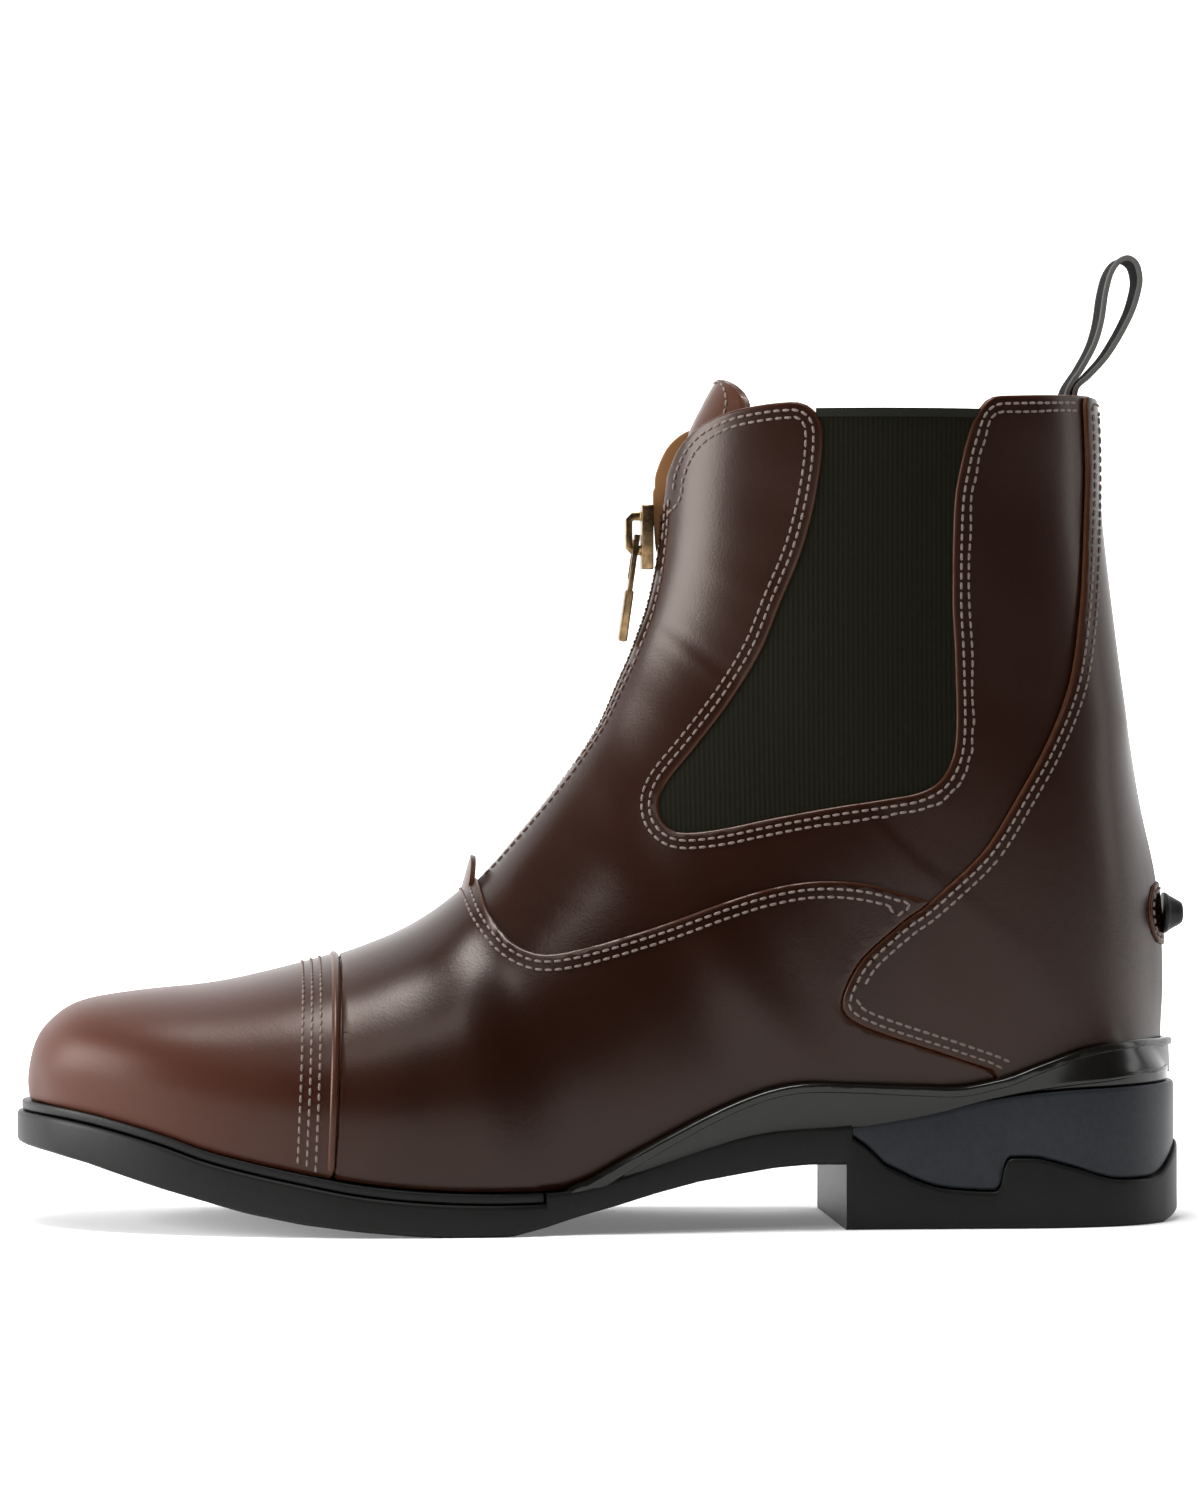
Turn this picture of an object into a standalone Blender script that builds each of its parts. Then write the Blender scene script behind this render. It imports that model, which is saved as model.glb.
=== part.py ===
"""A left paddock boot. The toe points to -X, the outer side faces -Y and the sole stands on Z = 0.

The upper is a fan of sections. Each section lies in a plane across the boot, from a point on the front
line to a point on the seat line or the back line. The overlays are cut from the same surface.
"""

import math

import bmesh
import bpy
import numpy as np
from mathutils import Matrix, Vector
from mathutils.bvhtree import BVHTree

# Driving sizes, in metres
LENGTH = 0.298
BALL_WIDTH = 0.103
HEEL_WIDTH = 0.069
SHAFT_WIDTH = 0.070
HEEL_STACK = 0.036
INSTEP_HEIGHT = 0.100
SHAFT_HEIGHT = 0.212
WALL = 0.002
GAP = 0.0003
SEAT_INSET = 0.005
WELT_HEIGHT = 0.0024
WELT_INSET = 0.0012
EDGE_CHAMFER = 0.0012
VAMP_LAYER = 0.0010
COUNTER_LAYER = 0.0013
CAP_LAYER = 0.0016
CUP_WALL = 0.0015
CUP_LIP = 0.0007
CUP_LIP_HEIGHT = 0.0022
CUP_HEIGHT = 0.012
INSERT_INSET = 0.0009
INSOLE_HEIGHT = 0.0026
INSOLE_PLAY = 0.0013
GORE_DEPTH = 0.0007
GORE_LAYER = 0.0012
ZIP_WIDTH = 0.0064
ZIP_LAYER = 0.0016
TONGUE_LAYER = 0.0016
TONGUE_WIDTH = 0.034
TONGUE_HEIGHT = 0.2155
TONGUE_LEAN = 0.0095
TONGUE_BOW = 0.0030
TONGUE_CLEARANCE = 0.0010
LOOP_LAYER = 0.0012
LOOP_WIDTH = 0.013
LOOP_TAIL = 0.014
LOOP_REACH = 0.035
SPUR_RADIUS = 0.0042
SPUR_REACH = 0.0052
SLIDER_WIDTH = 0.0088
SLIDER_HEIGHT = 0.0165
SLIDER_PLATE = 0.0030
BRIDGE_WIDTH = 0.0030
BRIDGE_REACH = 0.0070
BRIDGE_BAR = 0.0018
PULL_LENGTH = 0.0270
PULL_TAB = 0.0120
PULL_WIDTH = 0.0070
PULL_WINDOW = 0.0108
PULL_LINK_LAYER = 0.0013
PULL_TAB_LAYER = 0.0022
PULL_LEAN = math.radians(8)

# Steps of the meshes
UPPER_STEPS = ((0, 12, 11), (12, 18, 8), (18, 26, 7))
UPPER_HALF_COLUMNS = 11
TONGUE_ROWS = 16
TONGUE_COLUMNS = 9

# Reach of the cutters
CUT_HALF_WIDTH = LENGTH
CUT_START = -0.2
CUT_END = 1.2
GORE_CUT_MIDDLE = 0.038
GORE_CUT_HALF = 0.030

# Half width of the sole, in shares of BALL_WIDTH and HEEL_WIDTH, and the shift of its middle to the inside
PLAN_COLUMNS = ("along", "ball", "heel", "shift")
PLAN_ROWS = (
    (0.000, 0.000, 0.000, 0.090),
    (0.012, 0.150, 0.000, 0.085),
    (0.035, 0.255, 0.000, 0.080),
    (0.075, 0.345, 0.000, 0.068),
    (0.130, 0.418, 0.000, 0.050),
    (0.200, 0.470, 0.000, 0.030),
    (0.280, 0.500, 0.000, 0.010),
    (0.360, 0.492, 0.000, -0.005),
    (0.440, 0.446, 0.000, -0.015),
    (0.520, 0.260, 0.190, -0.020),
    (0.600, 0.100, 0.370, -0.020),
    (0.680, 0.000, 0.485, -0.012),
    (0.760, 0.000, 0.492, -0.004),
    (0.840, 0.000, 0.500, 0.000),
    (0.900, 0.000, 0.475, 0.000),
    (0.950, 0.000, 0.392, 0.000),
    (0.980, 0.000, 0.262, 0.000),
    (1.000, 0.000, 0.000, 0.000),
)

# Heights of the seat line and of the tread, in shares of HEEL_STACK
SOLE_COLUMNS = ("along", "seat", "tread")
SOLE_ROWS = (
    (0.000, 0.875, 0.570),
    (0.030, 0.860, 0.530),
    (0.060, 0.825, 0.475),
    (0.090, 0.770, 0.400),
    (0.125, 0.690, 0.314),
    (0.157, 0.600, 0.244),
    (0.195, 0.520, 0.160),
    (0.240, 0.442, 0.090),
    (0.290, 0.365, 0.040),
    (0.330, 0.328, 0.012),
    (0.355, 0.313, 0.000),
    (0.415, 0.300, 0.000),
    (0.445, 0.300, 0.055),
    (0.475, 0.330, 0.130),
    (0.507, 0.403, 0.200),
    (0.540, 0.494, 0.278),
    (0.575, 0.590, 0.350),
    (0.610, 0.668, 0.398),
    (0.640, 0.712, 0.436),
    (0.670, 0.728, 0.455),
    (0.700, 0.735, 0.455),
    (0.745, 0.778, 0.000),
    (0.780, 0.828, 0.000),
    (0.830, 0.917, 0.000),
    (0.885, 0.967, 0.000),
    (0.925, 0.980, 0.000),
    (1.000, 1.000, 0.000),
)
MIDSOLE_END = 0.445
BREAST = 0.700
INSERT_START = 0.7055
HEEL_BEVEL = (0.982, 0.060)

# Lower edge of the heel insert, in shares of HEEL_STACK
WAVE_COLUMNS = ("along", "height")
WAVE_ROWS = (
    (0.7055, 0.655),
    (0.718, 0.580),
    (0.734, 0.455),
    (0.745, 0.410),
    (0.760, 0.350),
    (0.778, 0.300),
    (0.800, 0.277),
    (0.825, 0.268),
    (0.831, 0.300),
    (0.835, 0.450),
    (0.842, 0.500),
    (0.860, 0.498),
    (0.880, 0.462),
    (0.900, 0.415),
    (0.920, 0.362),
    (0.938, 0.335),
    (0.960, 0.333),
    (0.976, 0.355),
    (0.987, 0.435),
    (1.000, 0.570),
)

# Rim and lower edge of the cup above the seat line, in shares of CUP_HEIGHT
CUP_COLUMNS = ("along", "rim", "low")
CUP_ROWS = (
    (0.455, 0.150, 0.02),
    (0.475, 0.210, 0.02),
    (0.507, 0.400, 0.02),
    (0.540, 0.550, 0.02),
    (0.575, 0.690, 0.02),
    (0.610, 0.825, 0.02),
    (0.640, 0.930, 0.02),
    (0.660, 0.965, 0.02),
    (0.705, 0.890, 0.02),
    (0.757, 0.680, 0.02),
    (0.805, 0.450, 0.02),
    (0.830, 0.430, 0.02),
    (0.865, 0.600, 0.02),
    (0.905, 0.830, 0.03),
    (0.940, 0.890, 0.04),
    (1.000, 0.890, 0.04),
)

# Back line of the upper: height as in level(), place along the length
BACK_COLUMNS = ("up", "along")
BACK_ROWS = (
    (0.34, 0.9790),
    (0.47, 0.9810),
    (0.60, 0.9835),
    (0.70, 0.9830),
    (0.87, 0.9775),
    (1.06, 0.9634),
    (1.25, 0.9520),
    (1.44, 0.9420),
    (1.59, 0.9350),
    (1.73, 0.9295),
    (1.80, 0.9285),
    (1.90, 0.9285),
    (2.00, 0.9245),
    (2.06, 0.9210),
)
BACK_TOP = 2.04

# Sections of the upper. front and up place the point on the front line. end runs from 0 at the toe to 1
# at the heel along the seat line, and on to 2 up the back line. outer and inner are how far the sides
# stand out: shares of BALL_WIDTH in the foot, and in the shaft of the width that makes SHAFT_WIDTH with
# SHAFT_SHARE. They count from the end point where from_end is 1, and from the middle where it is 0.
# widest is the share of the way down where the section is widest, crown and bend are the roundness
# before and after it, where 2 is an ellipse.
SHAFT_SHARE = 0.69
UPPER_COLUMNS = ("front", "up", "end", "outer", "inner", "from_end", "widest", "crown", "bend")
UPPER_SECTIONS = (
    (0.0175, 0.313, 0.000, 0.000, 0.000, 1.0, 0.60, 2.0, 2.0),
    (0.0155, 0.360, 0.0045, 0.002, 0.002, 1.0, 0.60, 2.0, 2.0),
    (0.0200, 0.440, 0.0150, 0.006, 0.006, 1.0, 0.62, 2.1, 2.0),
    (0.0310, 0.495, 0.0330, 0.010, 0.010, 1.0, 0.64, 2.2, 2.0),
    (0.0560, 0.545, 0.0650, 0.012, 0.012, 1.0, 0.66, 2.25, 2.0),
    (0.1050, 0.572, 0.1180, 0.014, 0.014, 1.0, 0.68, 2.25, 2.0),
    (0.1730, 0.595, 0.1880, 0.016, 0.016, 1.0, 0.70, 2.2, 2.0),
    (0.2430, 0.643, 0.2600, 0.018, 0.018, 1.0, 0.72, 2.1, 2.0),
    (0.2950, 0.690, 0.3200, 0.020, 0.018, 1.0, 0.72, 2.05, 2.0),
    (0.3450, 0.758, 0.3900, 0.025, 0.020, 1.0, 0.72, 2.0, 2.0),
    (0.3890, 0.858, 0.4700, 0.045, 0.035, 1.0, 0.70, 1.95, 2.0),
    (0.4270, 0.985, 0.5600, 0.070, 0.060, 1.0, 0.68, 1.9, 2.1),
    (0.4655, 1.114, 0.6550, 0.085, 0.078, 1.0, 0.62, 1.85, 1.9),
    (0.4970, 1.240, 0.7450, 0.357, 0.352, 0.0, 0.56, 1.85, 1.7),
    (0.5130, 1.335, 0.8400, 0.353, 0.350, 0.0, 0.52, 1.85, 1.6),
    (0.5240, 1.402, 0.9200, 0.352, 0.350, 0.0, 0.50, 1.85, 1.65),
    (0.5315, 1.455, 0.9750, 0.352, 0.350, 0.0, 0.49, 1.85, 1.9),
    (0.5380, 1.505, 1.0000, 0.350, 0.348, 0.0, 0.48, 1.85, 2.3),
    (0.5425, 1.550, 1.1100, 0.350, 0.348, 0.0, 0.48, 1.85, 2.35),
    (0.5465, 1.600, 1.2200, 0.347, 0.345, 0.0, 0.47, 1.85, 2.25),
    (0.5490, 1.645, 1.3300, 0.342, 0.340, 0.0, 0.47, 1.85, 2.1),
    (0.5508, 1.690, 1.4500, 0.337, 0.335, 0.0, 0.48, 1.85, 2.0),
    (0.5520, 1.742, 1.5800, 0.335, 0.333, 0.0, 0.49, 1.85, 2.0),
    (0.5535, 1.805, 1.7000, 0.335, 0.333, 0.0, 0.50, 1.85, 2.0),
    (0.5555, 1.875, 1.8200, 0.337, 0.335, 0.0, 0.50, 1.85, 2.0),
    (0.5580, 1.948, 1.9200, 0.339, 0.337, 0.0, 0.50, 1.85, 2.0),
    (0.5610, 2.020, 2.0000, 0.340, 0.338, 0.0, 0.50, 1.85, 2.0),
)

# Panel edges in side view: place along the length and height as in level()
COLLAR_EDGE = (
    (0.500, 1.740), (0.549, 1.752), (0.556, 1.815), (0.565, 1.873), (0.580, 1.916), (0.603, 1.946),
    (0.631, 1.961), (0.655, 1.966), (0.672, 1.962), (0.690, 1.954), (0.807, 1.954), (0.816, 1.965),
    (0.829, 1.980), (0.848, 1.984), (0.904, 1.992), (0.940, 2.000),
)
GORE_EDGE = (
    (0.680, 2.100), (0.680, 1.939), (0.680, 1.853), (0.674, 1.741), (0.663, 1.629), (0.646, 1.518),
    (0.629, 1.405), (0.604, 1.295), (0.575, 1.194), (0.551, 1.116), (0.543, 1.071), (0.545, 1.027),
    (0.558, 1.000), (0.590, 1.005), (0.640, 1.032), (0.690, 1.056), (0.735, 1.074), (0.762, 1.088),
    (0.780, 1.116), (0.791, 1.172), (0.794, 1.250), (0.793, 1.406), (0.791, 1.518), (0.793, 1.741),
    (0.801, 1.853), (0.811, 1.952), (0.811, 2.100),
)
CAP_EDGE = ((0.268, 0.000), (0.272, 0.350), (0.276, 0.650), (0.278, 0.900))
VAMP_EDGE = (
    (0.394, 1.100), (0.394, 0.880), (0.397, 0.830), (0.402, 0.785), (0.418, 0.722), (0.442, 0.692),
    (0.474, 0.704), (0.533, 0.755), (0.592, 0.818), (0.633, 0.856), (0.675, 0.876), (0.718, 0.868),
    (0.764, 0.830),
)
COUNTER_EDGE = (
    (0.910, 2.100), (0.911, 1.950), (0.913, 1.816), (0.911, 1.703), (0.906, 1.521), (0.895, 1.341),
    (0.874, 1.205), (0.847, 1.082), (0.817, 0.954), (0.782, 0.854), (0.764, 0.808), (0.748, 0.775),
    (0.714, 0.685), (0.700, 0.617), (0.695, 0.567), (0.700, 0.537), (0.712, 0.515), (0.736, 0.487),
    (0.786, 0.439), (0.828, 0.396),
)

# Centre line of the loop, from its base: shares of LOOP_REACH back and up
LOOP_PATH = (
    (0.00, 0.00), (0.11, 0.18), (0.20, 0.35), (0.25, 0.52), (0.28, 0.72), (0.32, 0.87), (0.38, 0.96),
    (0.45, 0.985), (0.51, 0.94), (0.535, 0.84), (0.525, 0.75), (0.48, 0.60), (0.39, 0.42), (0.28, 0.25),
    (0.15, 0.11), (0.045, 0.02),
)

# Heights as in level()
TONGUE_ROOT = 1.10
TONGUE_BEND = 1.70
ZIP_ROOT = 0.93
SLIDER_UP = 1.670
SPUR_UP = 0.785
COUNTER_TOP = 1.988
CHAIN_TOP = 1.735

# First and last section that each layer is cut from
CAP_SECTIONS = (0, 13)
VAMP_SECTIONS = (0, 20)
COUNTER_SECTIONS = (8, 26)
GORE_SECTIONS = (12, 26)
ALL_SECTIONS = (0, 26)

# Radius at the back of the collar, in shares of SHAFT_WIDTH
BACK_ROUNDING = 0.31


def table(columns, rows, name):
    """One named column of a table, as an array."""
    place = columns.index(name)
    return np.array([row[place] for row in rows], float)


def curve(places, values, at):
    """Smooth curve through the values, with no overshoot."""
    at = np.clip(np.asarray(at, float), places[0], places[-1])
    steps = np.diff(places)
    slopes = np.diff(values) / steps
    tangents = np.zeros(len(values))
    tangents[0] = slopes[0]
    tangents[-1] = slopes[-1]
    same_way = slopes[:-1] * slopes[1:] > 0
    means = (slopes[:-1] * steps[1:] + slopes[1:] * steps[:-1]) / (steps[:-1] + steps[1:])
    tightest = 3 * np.minimum(abs(slopes[:-1]), abs(slopes[1:]))
    tangents[1:-1] = np.where(same_way, np.sign(means) * np.minimum(abs(means), tightest), 0)
    left = np.clip(np.searchsorted(places, at, side="right") - 1, 0, len(steps) - 1)
    step = steps[left]
    share = (at - places[left]) / step
    rest = 1 - share
    return (
        (1 + 2 * share) * rest**2 * values[left]
        + share * rest**2 * step * tangents[left]
        + share**2 * (3 - 2 * share) * values[left + 1]
        + share**2 * (share - 1) * step * tangents[left + 1]
    )


def along_x(along):
    """Place along the length, 0 at the toe and 1 at the heel."""
    return (np.asarray(along, float) - 0.5) * LENGTH


def level(up):
    """Height: 0 to 1 reaches the instep, 1 to 2 the top of the shaft."""
    up = np.asarray(up, float)
    return np.where(up < 1, up * INSTEP_HEIGHT, INSTEP_HEIGHT + (up - 1) * (SHAFT_HEIGHT - INSTEP_HEIGHT))


def side_points(edge):
    """A panel edge in side view, in metres."""
    edge = np.array(edge)
    return np.stack([along_x(edge[:, 0]), level(edge[:, 1])], 1)


def round_end(along):
    """Runs evenly round both ends of the sole, where the outline turns across."""
    return np.arccos(1 - 2 * np.clip(along, 0, 1)) / math.pi


def outline(along, inset):
    """Outer and inner side of the sole in plan, moved inwards by inset."""
    along = np.atleast_1d(along)
    fine = (1 - np.cos(np.linspace(0, math.pi, 241))) / 2
    at = round_end(fine)
    rows_at = round_end(table(PLAN_COLUMNS, PLAN_ROWS, "along"))
    half = BALL_WIDTH * curve(rows_at, table(PLAN_COLUMNS, PLAN_ROWS, "ball"), at)
    half += HEEL_WIDTH * curve(rows_at, table(PLAN_COLUMNS, PLAN_ROWS, "heel"), at)
    middle = BALL_WIDTH * curve(rows_at, table(PLAN_COLUMNS, PLAN_ROWS, "shift"), at)
    sides = []
    for sign in (-1, 1):
        points = np.stack([along_x(fine), middle + sign * half], 1)
        run = np.gradient(points, axis=0)
        run[0] = (0, sign)
        run[-1] = (0, -sign)
        run /= np.linalg.norm(run, axis=1)[:, None]
        inwards = np.stack([run[:, 1], -run[:, 0]], 1) * sign
        points = points + inset * inwards
        sides.append(np.stack([np.interp(along, fine, points[:, axis]) for axis in (0, 1)], 1))
    return sides


def seat(x):
    """Height of the line where the upper meets the sole."""
    rows = table(SOLE_COLUMNS, SOLE_ROWS, "along"), table(SOLE_COLUMNS, SOLE_ROWS, "seat")
    return HEEL_STACK * curve(*rows, np.asarray(x) / LENGTH + 0.5)


def tread(along):
    rows = table(SOLE_COLUMNS, SOLE_ROWS, "along"), table(SOLE_COLUMNS, SOLE_ROWS, "tread")
    return HEEL_STACK * np.interp(along, *rows)


def wave(along):
    rows = table(WAVE_COLUMNS, WAVE_ROWS, "along"), table(WAVE_COLUMNS, WAVE_ROWS, "height")
    return HEEL_STACK * curve(*rows, along)


def back_x(z):
    """Place of the back line at a height."""
    heights = level(table(BACK_COLUMNS, BACK_ROWS, "up"))
    return along_x(curve(heights, table(BACK_COLUMNS, BACK_ROWS, "along"), z))


def end_points(end):
    """Outer and inner end of a section, on the seat line or, past the heel, on the back line."""
    outer, inner = outline(min(end, 1), SEAT_INSET)
    if end <= 1:
        return [np.array([x, y, seat(x)]) for x, y in (outer[0], inner[0])]
    low = seat(outer[0, 0])
    z = low + (end - 1) * (level(BACK_TOP) - low)
    blend = np.clip((end - 1) / 0.1, 0, 1)
    x = (1 - blend) * outer[0, 0] + blend * back_x(z)
    return [np.array([x, outer[0, 1], z])] * 2


def section(row):
    """Points of one section at even steps, from the outer end over the front line to the inner end."""
    front_x = along_x(row["front"])
    front_z = level(row["up"])
    ends = end_points(row["end"])
    middle = (ends[0][1] + ends[1][1]) / 2
    shaft_share = np.clip((row["end"] - 0.7) / 0.5, 0, 1)
    width = BALL_WIDTH + shaft_share * (SHAFT_WIDTH / SHAFT_SHARE - BALL_WIDTH)
    angle = np.linspace(0, math.pi / 2, 60)
    halves = []
    for end, stand, sign in ((ends[0], row["outer"], -1), (ends[1], row["inner"], 1)):
        end_half = abs(end[1] - middle)
        widest = row["from_end"] * end_half + stand * width
        down = row["widest"] * (1 - np.cos(angle) ** (2 / row["crown"]))
        out = widest * np.sin(angle) ** (2 / row["crown"])
        down_rest = row["widest"] + (1 - row["widest"]) * np.sin(angle) ** (2 / row["bend"])
        out_rest = end_half + (widest - end_half) * np.cos(angle) ** (2 / row["bend"])
        down = np.concatenate([down, down_rest[1:]])
        out = np.concatenate([out, out_rest[1:]])
        x = front_x + down * (end[0] - front_x)
        z = front_z + down * (end[2] - front_z)
        points = np.stack([x, middle + sign * out, z], 1)
        run = np.concatenate([[0], np.cumsum(np.linalg.norm(np.diff(points, axis=0), axis=1))])
        even = np.linspace(0, run[-1], UPPER_HALF_COLUMNS + 1)
        halves.append(np.stack([np.interp(even, run, points[:, axis]) for axis in range(3)], 1))
    return np.concatenate([halves[0][::-1], halves[1][1:]])


def section_steps():
    """Places of the grid's rows, counted in sections of the table."""
    return np.concatenate([[0]] + [np.linspace(*steps[:2], steps[2] + 1)[1:] for steps in UPPER_STEPS])


def upper_grid():
    """Points of the upper's outer surface and the directions away from it."""
    places = np.arange(float(len(UPPER_SECTIONS)))
    at = section_steps()
    columns = [curve(places, table(UPPER_COLUMNS, UPPER_SECTIONS, name), at) for name in UPPER_COLUMNS]
    rows = [section(dict(zip(UPPER_COLUMNS, values))) for values in zip(*columns)]
    grid = np.array(rows)
    grid[0] = grid[0, UPPER_HALF_COLUMNS]
    return grid, directions(grid)


def directions(grid):
    """Outward direction at each point of a grid whose doubled points count as one."""
    across = np.cross(grid[1:, :-1] - grid[:-1, 1:], grid[1:, 1:] - grid[:-1, :-1])
    total = np.zeros_like(grid)
    for rows in (slice(0, -1), slice(1, None)):
        for columns in (slice(0, -1), slice(1, None)):
            total[rows, columns] += across
    keys = np.round(grid.reshape(-1, 3), 7)
    _, owner = np.unique(keys, axis=0, return_inverse=True)
    owner = owner.reshape(-1)
    sums = np.zeros((owner.max() + 1, 3))
    np.add.at(sums, owner, total.reshape(-1, 3))
    found = sums[owner].reshape(grid.shape)
    found /= np.linalg.norm(found, axis=2)[:, :, None]
    return found


def make_material(name, colour, roughness, metallic=0.0):
    material = bpy.data.materials.new(name)
    material.use_nodes = True
    shader = material.node_tree.nodes["Principled BSDF"]
    shader.inputs["Base Color"].default_value = (*colour, 1)
    shader.inputs["Roughness"].default_value = roughness
    shader.inputs["Metallic"].default_value = metallic
    return material


def make_object(name, points, faces, material, collection):
    """A mesh object whose doubled points are one and whose faces point out."""
    mesh = bpy.data.meshes.new(name)
    mesh.from_pydata([tuple(point) for point in points], [], faces)
    shape = bmesh.new()
    shape.from_mesh(mesh)
    bmesh.ops.remove_doubles(shape, verts=shape.verts, dist=1e-6)
    bmesh.ops.dissolve_degenerate(shape, edges=shape.edges, dist=1e-6)
    bmesh.ops.recalc_face_normals(shape, faces=shape.faces)
    closed = all(edge.is_manifold for edge in shape.edges)
    if closed and shape.calc_volume(signed=True) < 0:
        bmesh.ops.reverse_faces(shape, faces=shape.faces)
    shape.to_mesh(mesh)
    shape.free()
    mesh.shade_smooth()
    mesh.set_sharp_from_angle(angle=math.radians(35))
    item = bpy.data.objects.new(name, mesh)
    if material:
        mesh.materials.append(material)
    collection.objects.link(item)
    return item


def grid_faces(rows, columns):
    """Triangles of a grid of points, whose diagonals mirror about the middle column."""
    faces = []
    for row in range(rows - 1):
        for column in range(columns - 1):
            at = row * columns + column
            corners = (at, at + columns, at + columns + 1, at + 1)
            if 2 * column + 2 > columns:
                corners = corners[1:] + corners[:1]
            faces.append((corners[0], corners[1], corners[2]))
            faces.append((corners[0], corners[2], corners[3]))
    return faces


def shell(name, low, high, sections, material, collection):
    """A layer between two distances from the upper's outer surface, exact on the side nearer to it."""
    grid, out = upper_grid()
    first, last = np.searchsorted(section_steps() + GAP, sections)
    rows = slice(first, last + 1)
    outside = low >= 0
    points = (grid + (low if outside else high) * out)[rows]
    faces = grid_faces(*points.shape[:2])
    item = make_object(name, points.reshape(-1, 3), faces, material, collection)
    orient(item, out[rows].reshape(-1, 3), points.reshape(-1, 3))
    thick = item.modifiers.new("thickness", "SOLIDIFY")
    thick.thickness = high - low
    thick.offset = 1 if outside else -1
    return item


def orient(item, out, points):
    """Turns an open surface so that its faces look away from the boot."""
    polygon = item.data.polygons[len(item.data.polygons) // 2]
    nearest = np.argmin(np.linalg.norm(points - np.array(polygon.center), axis=1))
    if Vector(out[nearest]).dot(polygon.normal) < 0:
        item.data.flip_normals()


def prism(name, outline_points, half_width, collection, centre_y=0.0):
    """A side view outline, extruded across the boot: a cutter."""
    flat = bpy.data.curves.new(name, "CURVE")
    flat.dimensions = "2D"
    flat.fill_mode = "BOTH"
    flat.extrude = half_width
    line = flat.splines.new("POLY")
    line.points.add(len(outline_points) - 1)
    for point, (x, z) in zip(line.points, outline_points):
        point.co = (x, z, 0, 1)
    line.use_cyclic_u = True
    turned = bpy.data.objects.new(name + "_curve", flat)
    turned.matrix_world = Matrix.Translation((0, centre_y, 0)) @ Matrix.Rotation(math.pi / 2, 4, "X")
    collection.objects.link(turned)
    return solid_from_curve(name, turned, collection)


def solid_from_curve(name, source, collection, material=None):
    """A closed mesh in place of a curve object."""
    bpy.context.view_layer.update()
    graph = bpy.context.evaluated_depsgraph_get()
    mesh = bpy.data.meshes.new_from_object(source.evaluated_get(graph))
    mesh.name = name
    shape = bmesh.new()
    shape.from_mesh(mesh)
    bmesh.ops.remove_doubles(shape, verts=shape.verts, dist=1e-6)
    bmesh.ops.recalc_face_normals(shape, faces=shape.faces)
    shape.to_mesh(mesh)
    shape.free()
    if material:
        mesh.materials.clear()
        mesh.materials.append(material)
    item = bpy.data.objects.new(name, mesh)
    item.matrix_world = source.matrix_world.copy()
    collection.objects.link(item)
    bpy.data.objects.remove(source)
    return item


def cut(item, cutter, operation):
    change = item.modifiers.new(cutter.name, "BOOLEAN")
    change.operation = operation
    change.object = cutter
    cutter.hide_render = True
    cutter.display_type = "WIRE"


def plate(name, rows, inset, material, collection, chamfer=EDGE_CHAMFER):
    """A layer of the sole from rows of (along, low, high), with small chamfers round its edge."""
    along = np.array([row[0] for row in rows])
    low = np.array([row[1] for row in rows])
    high = np.array([row[2] for row in rows])
    small = np.minimum(chamfer, 0.3 * (high - low))
    levels = (
        (inset + chamfer, low), (inset, low + small), (inset, high - small), (inset + chamfer / 2, high),
    )
    count = len(along)
    points = []
    for move, heights in levels:
        outer, inner = outline(along, move)
        ring = np.concatenate([outer, inner[::-1]])
        heights = np.concatenate([heights, heights[::-1]])
        points.extend(np.column_stack([ring, heights]))
    faces = []
    ring_count = 2 * count
    for tier in range(len(levels) - 1):
        for index in range(ring_count):
            ahead = (index + 1) % ring_count
            base = tier * ring_count
            faces.append((base + index, base + ahead, base + ring_count + ahead, base + ring_count + index))
    for base in (0, (len(levels) - 1) * ring_count):
        for index in range(count - 1):
            other = ring_count - 1 - index
            faces.append((base + index, base + index + 1, base + other - 1, base + other))
    return make_object(name, points, faces, material, collection)


def sole_stations(start, end, count):
    """Even steps round the ends, from start to end."""
    angles = np.linspace(round_end(start), round_end(end), count)
    return (1 - np.cos(angles * math.pi)) / 2


def make_outsole(material, collection):
    rows = []
    for along in sole_stations(0, MIDSOLE_END, 20):
        top = seat(along_x(along)) - 2 * GAP - WELT_HEIGHT
        rows.append((along, tread(along), top))
    for along in np.linspace(MIDSOLE_END, BREAST, 12):
        rows.append((along, min(tread(along), tread(BREAST)), seat(along_x(along)) - GAP))
    rows.append((BREAST, 0, seat(along_x(BREAST)) - GAP))
    rows.append((INSERT_START - GAP / LENGTH, 0, seat(along_x(INSERT_START)) - GAP))
    rows.append((INSERT_START - GAP / LENGTH, 0, wave(INSERT_START) - GAP))
    bevel_start, bevel_rise = HEEL_BEVEL
    for along in table(WAVE_COLUMNS, WAVE_ROWS, "along")[1:]:
        rise = max(0, along - bevel_start) / (1 - bevel_start) * bevel_rise * HEEL_STACK
        rows.append((along, rise, wave(along) - GAP))
    return plate("outsole", rows, 0, material, collection)


def make_midsole(material, collection):
    rows = []
    for along in sole_stations(0, MIDSOLE_END - GAP / LENGTH, 20):
        top = seat(along_x(along)) - GAP
        rows.append((along, top - WELT_HEIGHT, top))
    return plate("midsole", rows, WELT_INSET, material, collection, chamfer=EDGE_CHAMFER / 2)


def make_heel_insert(material, collection):
    rows = []
    for along in table(WAVE_COLUMNS, WAVE_ROWS, "along"):
        rows.append((along, wave(along), seat(along_x(along)) - GAP))
    return plate("heel_insert", rows, INSERT_INSET, material, collection)


def make_insole(material, collection):
    rows = []
    for along in sole_stations(0, 1, 26):
        low = seat(along_x(along)) + GAP
        rows.append((along, low, low + INSOLE_HEIGHT))
    inset = SEAT_INSET + WALL + INSOLE_PLAY
    return plate("insole", rows, inset, material, collection, chamfer=EDGE_CHAMFER / 2)


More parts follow.
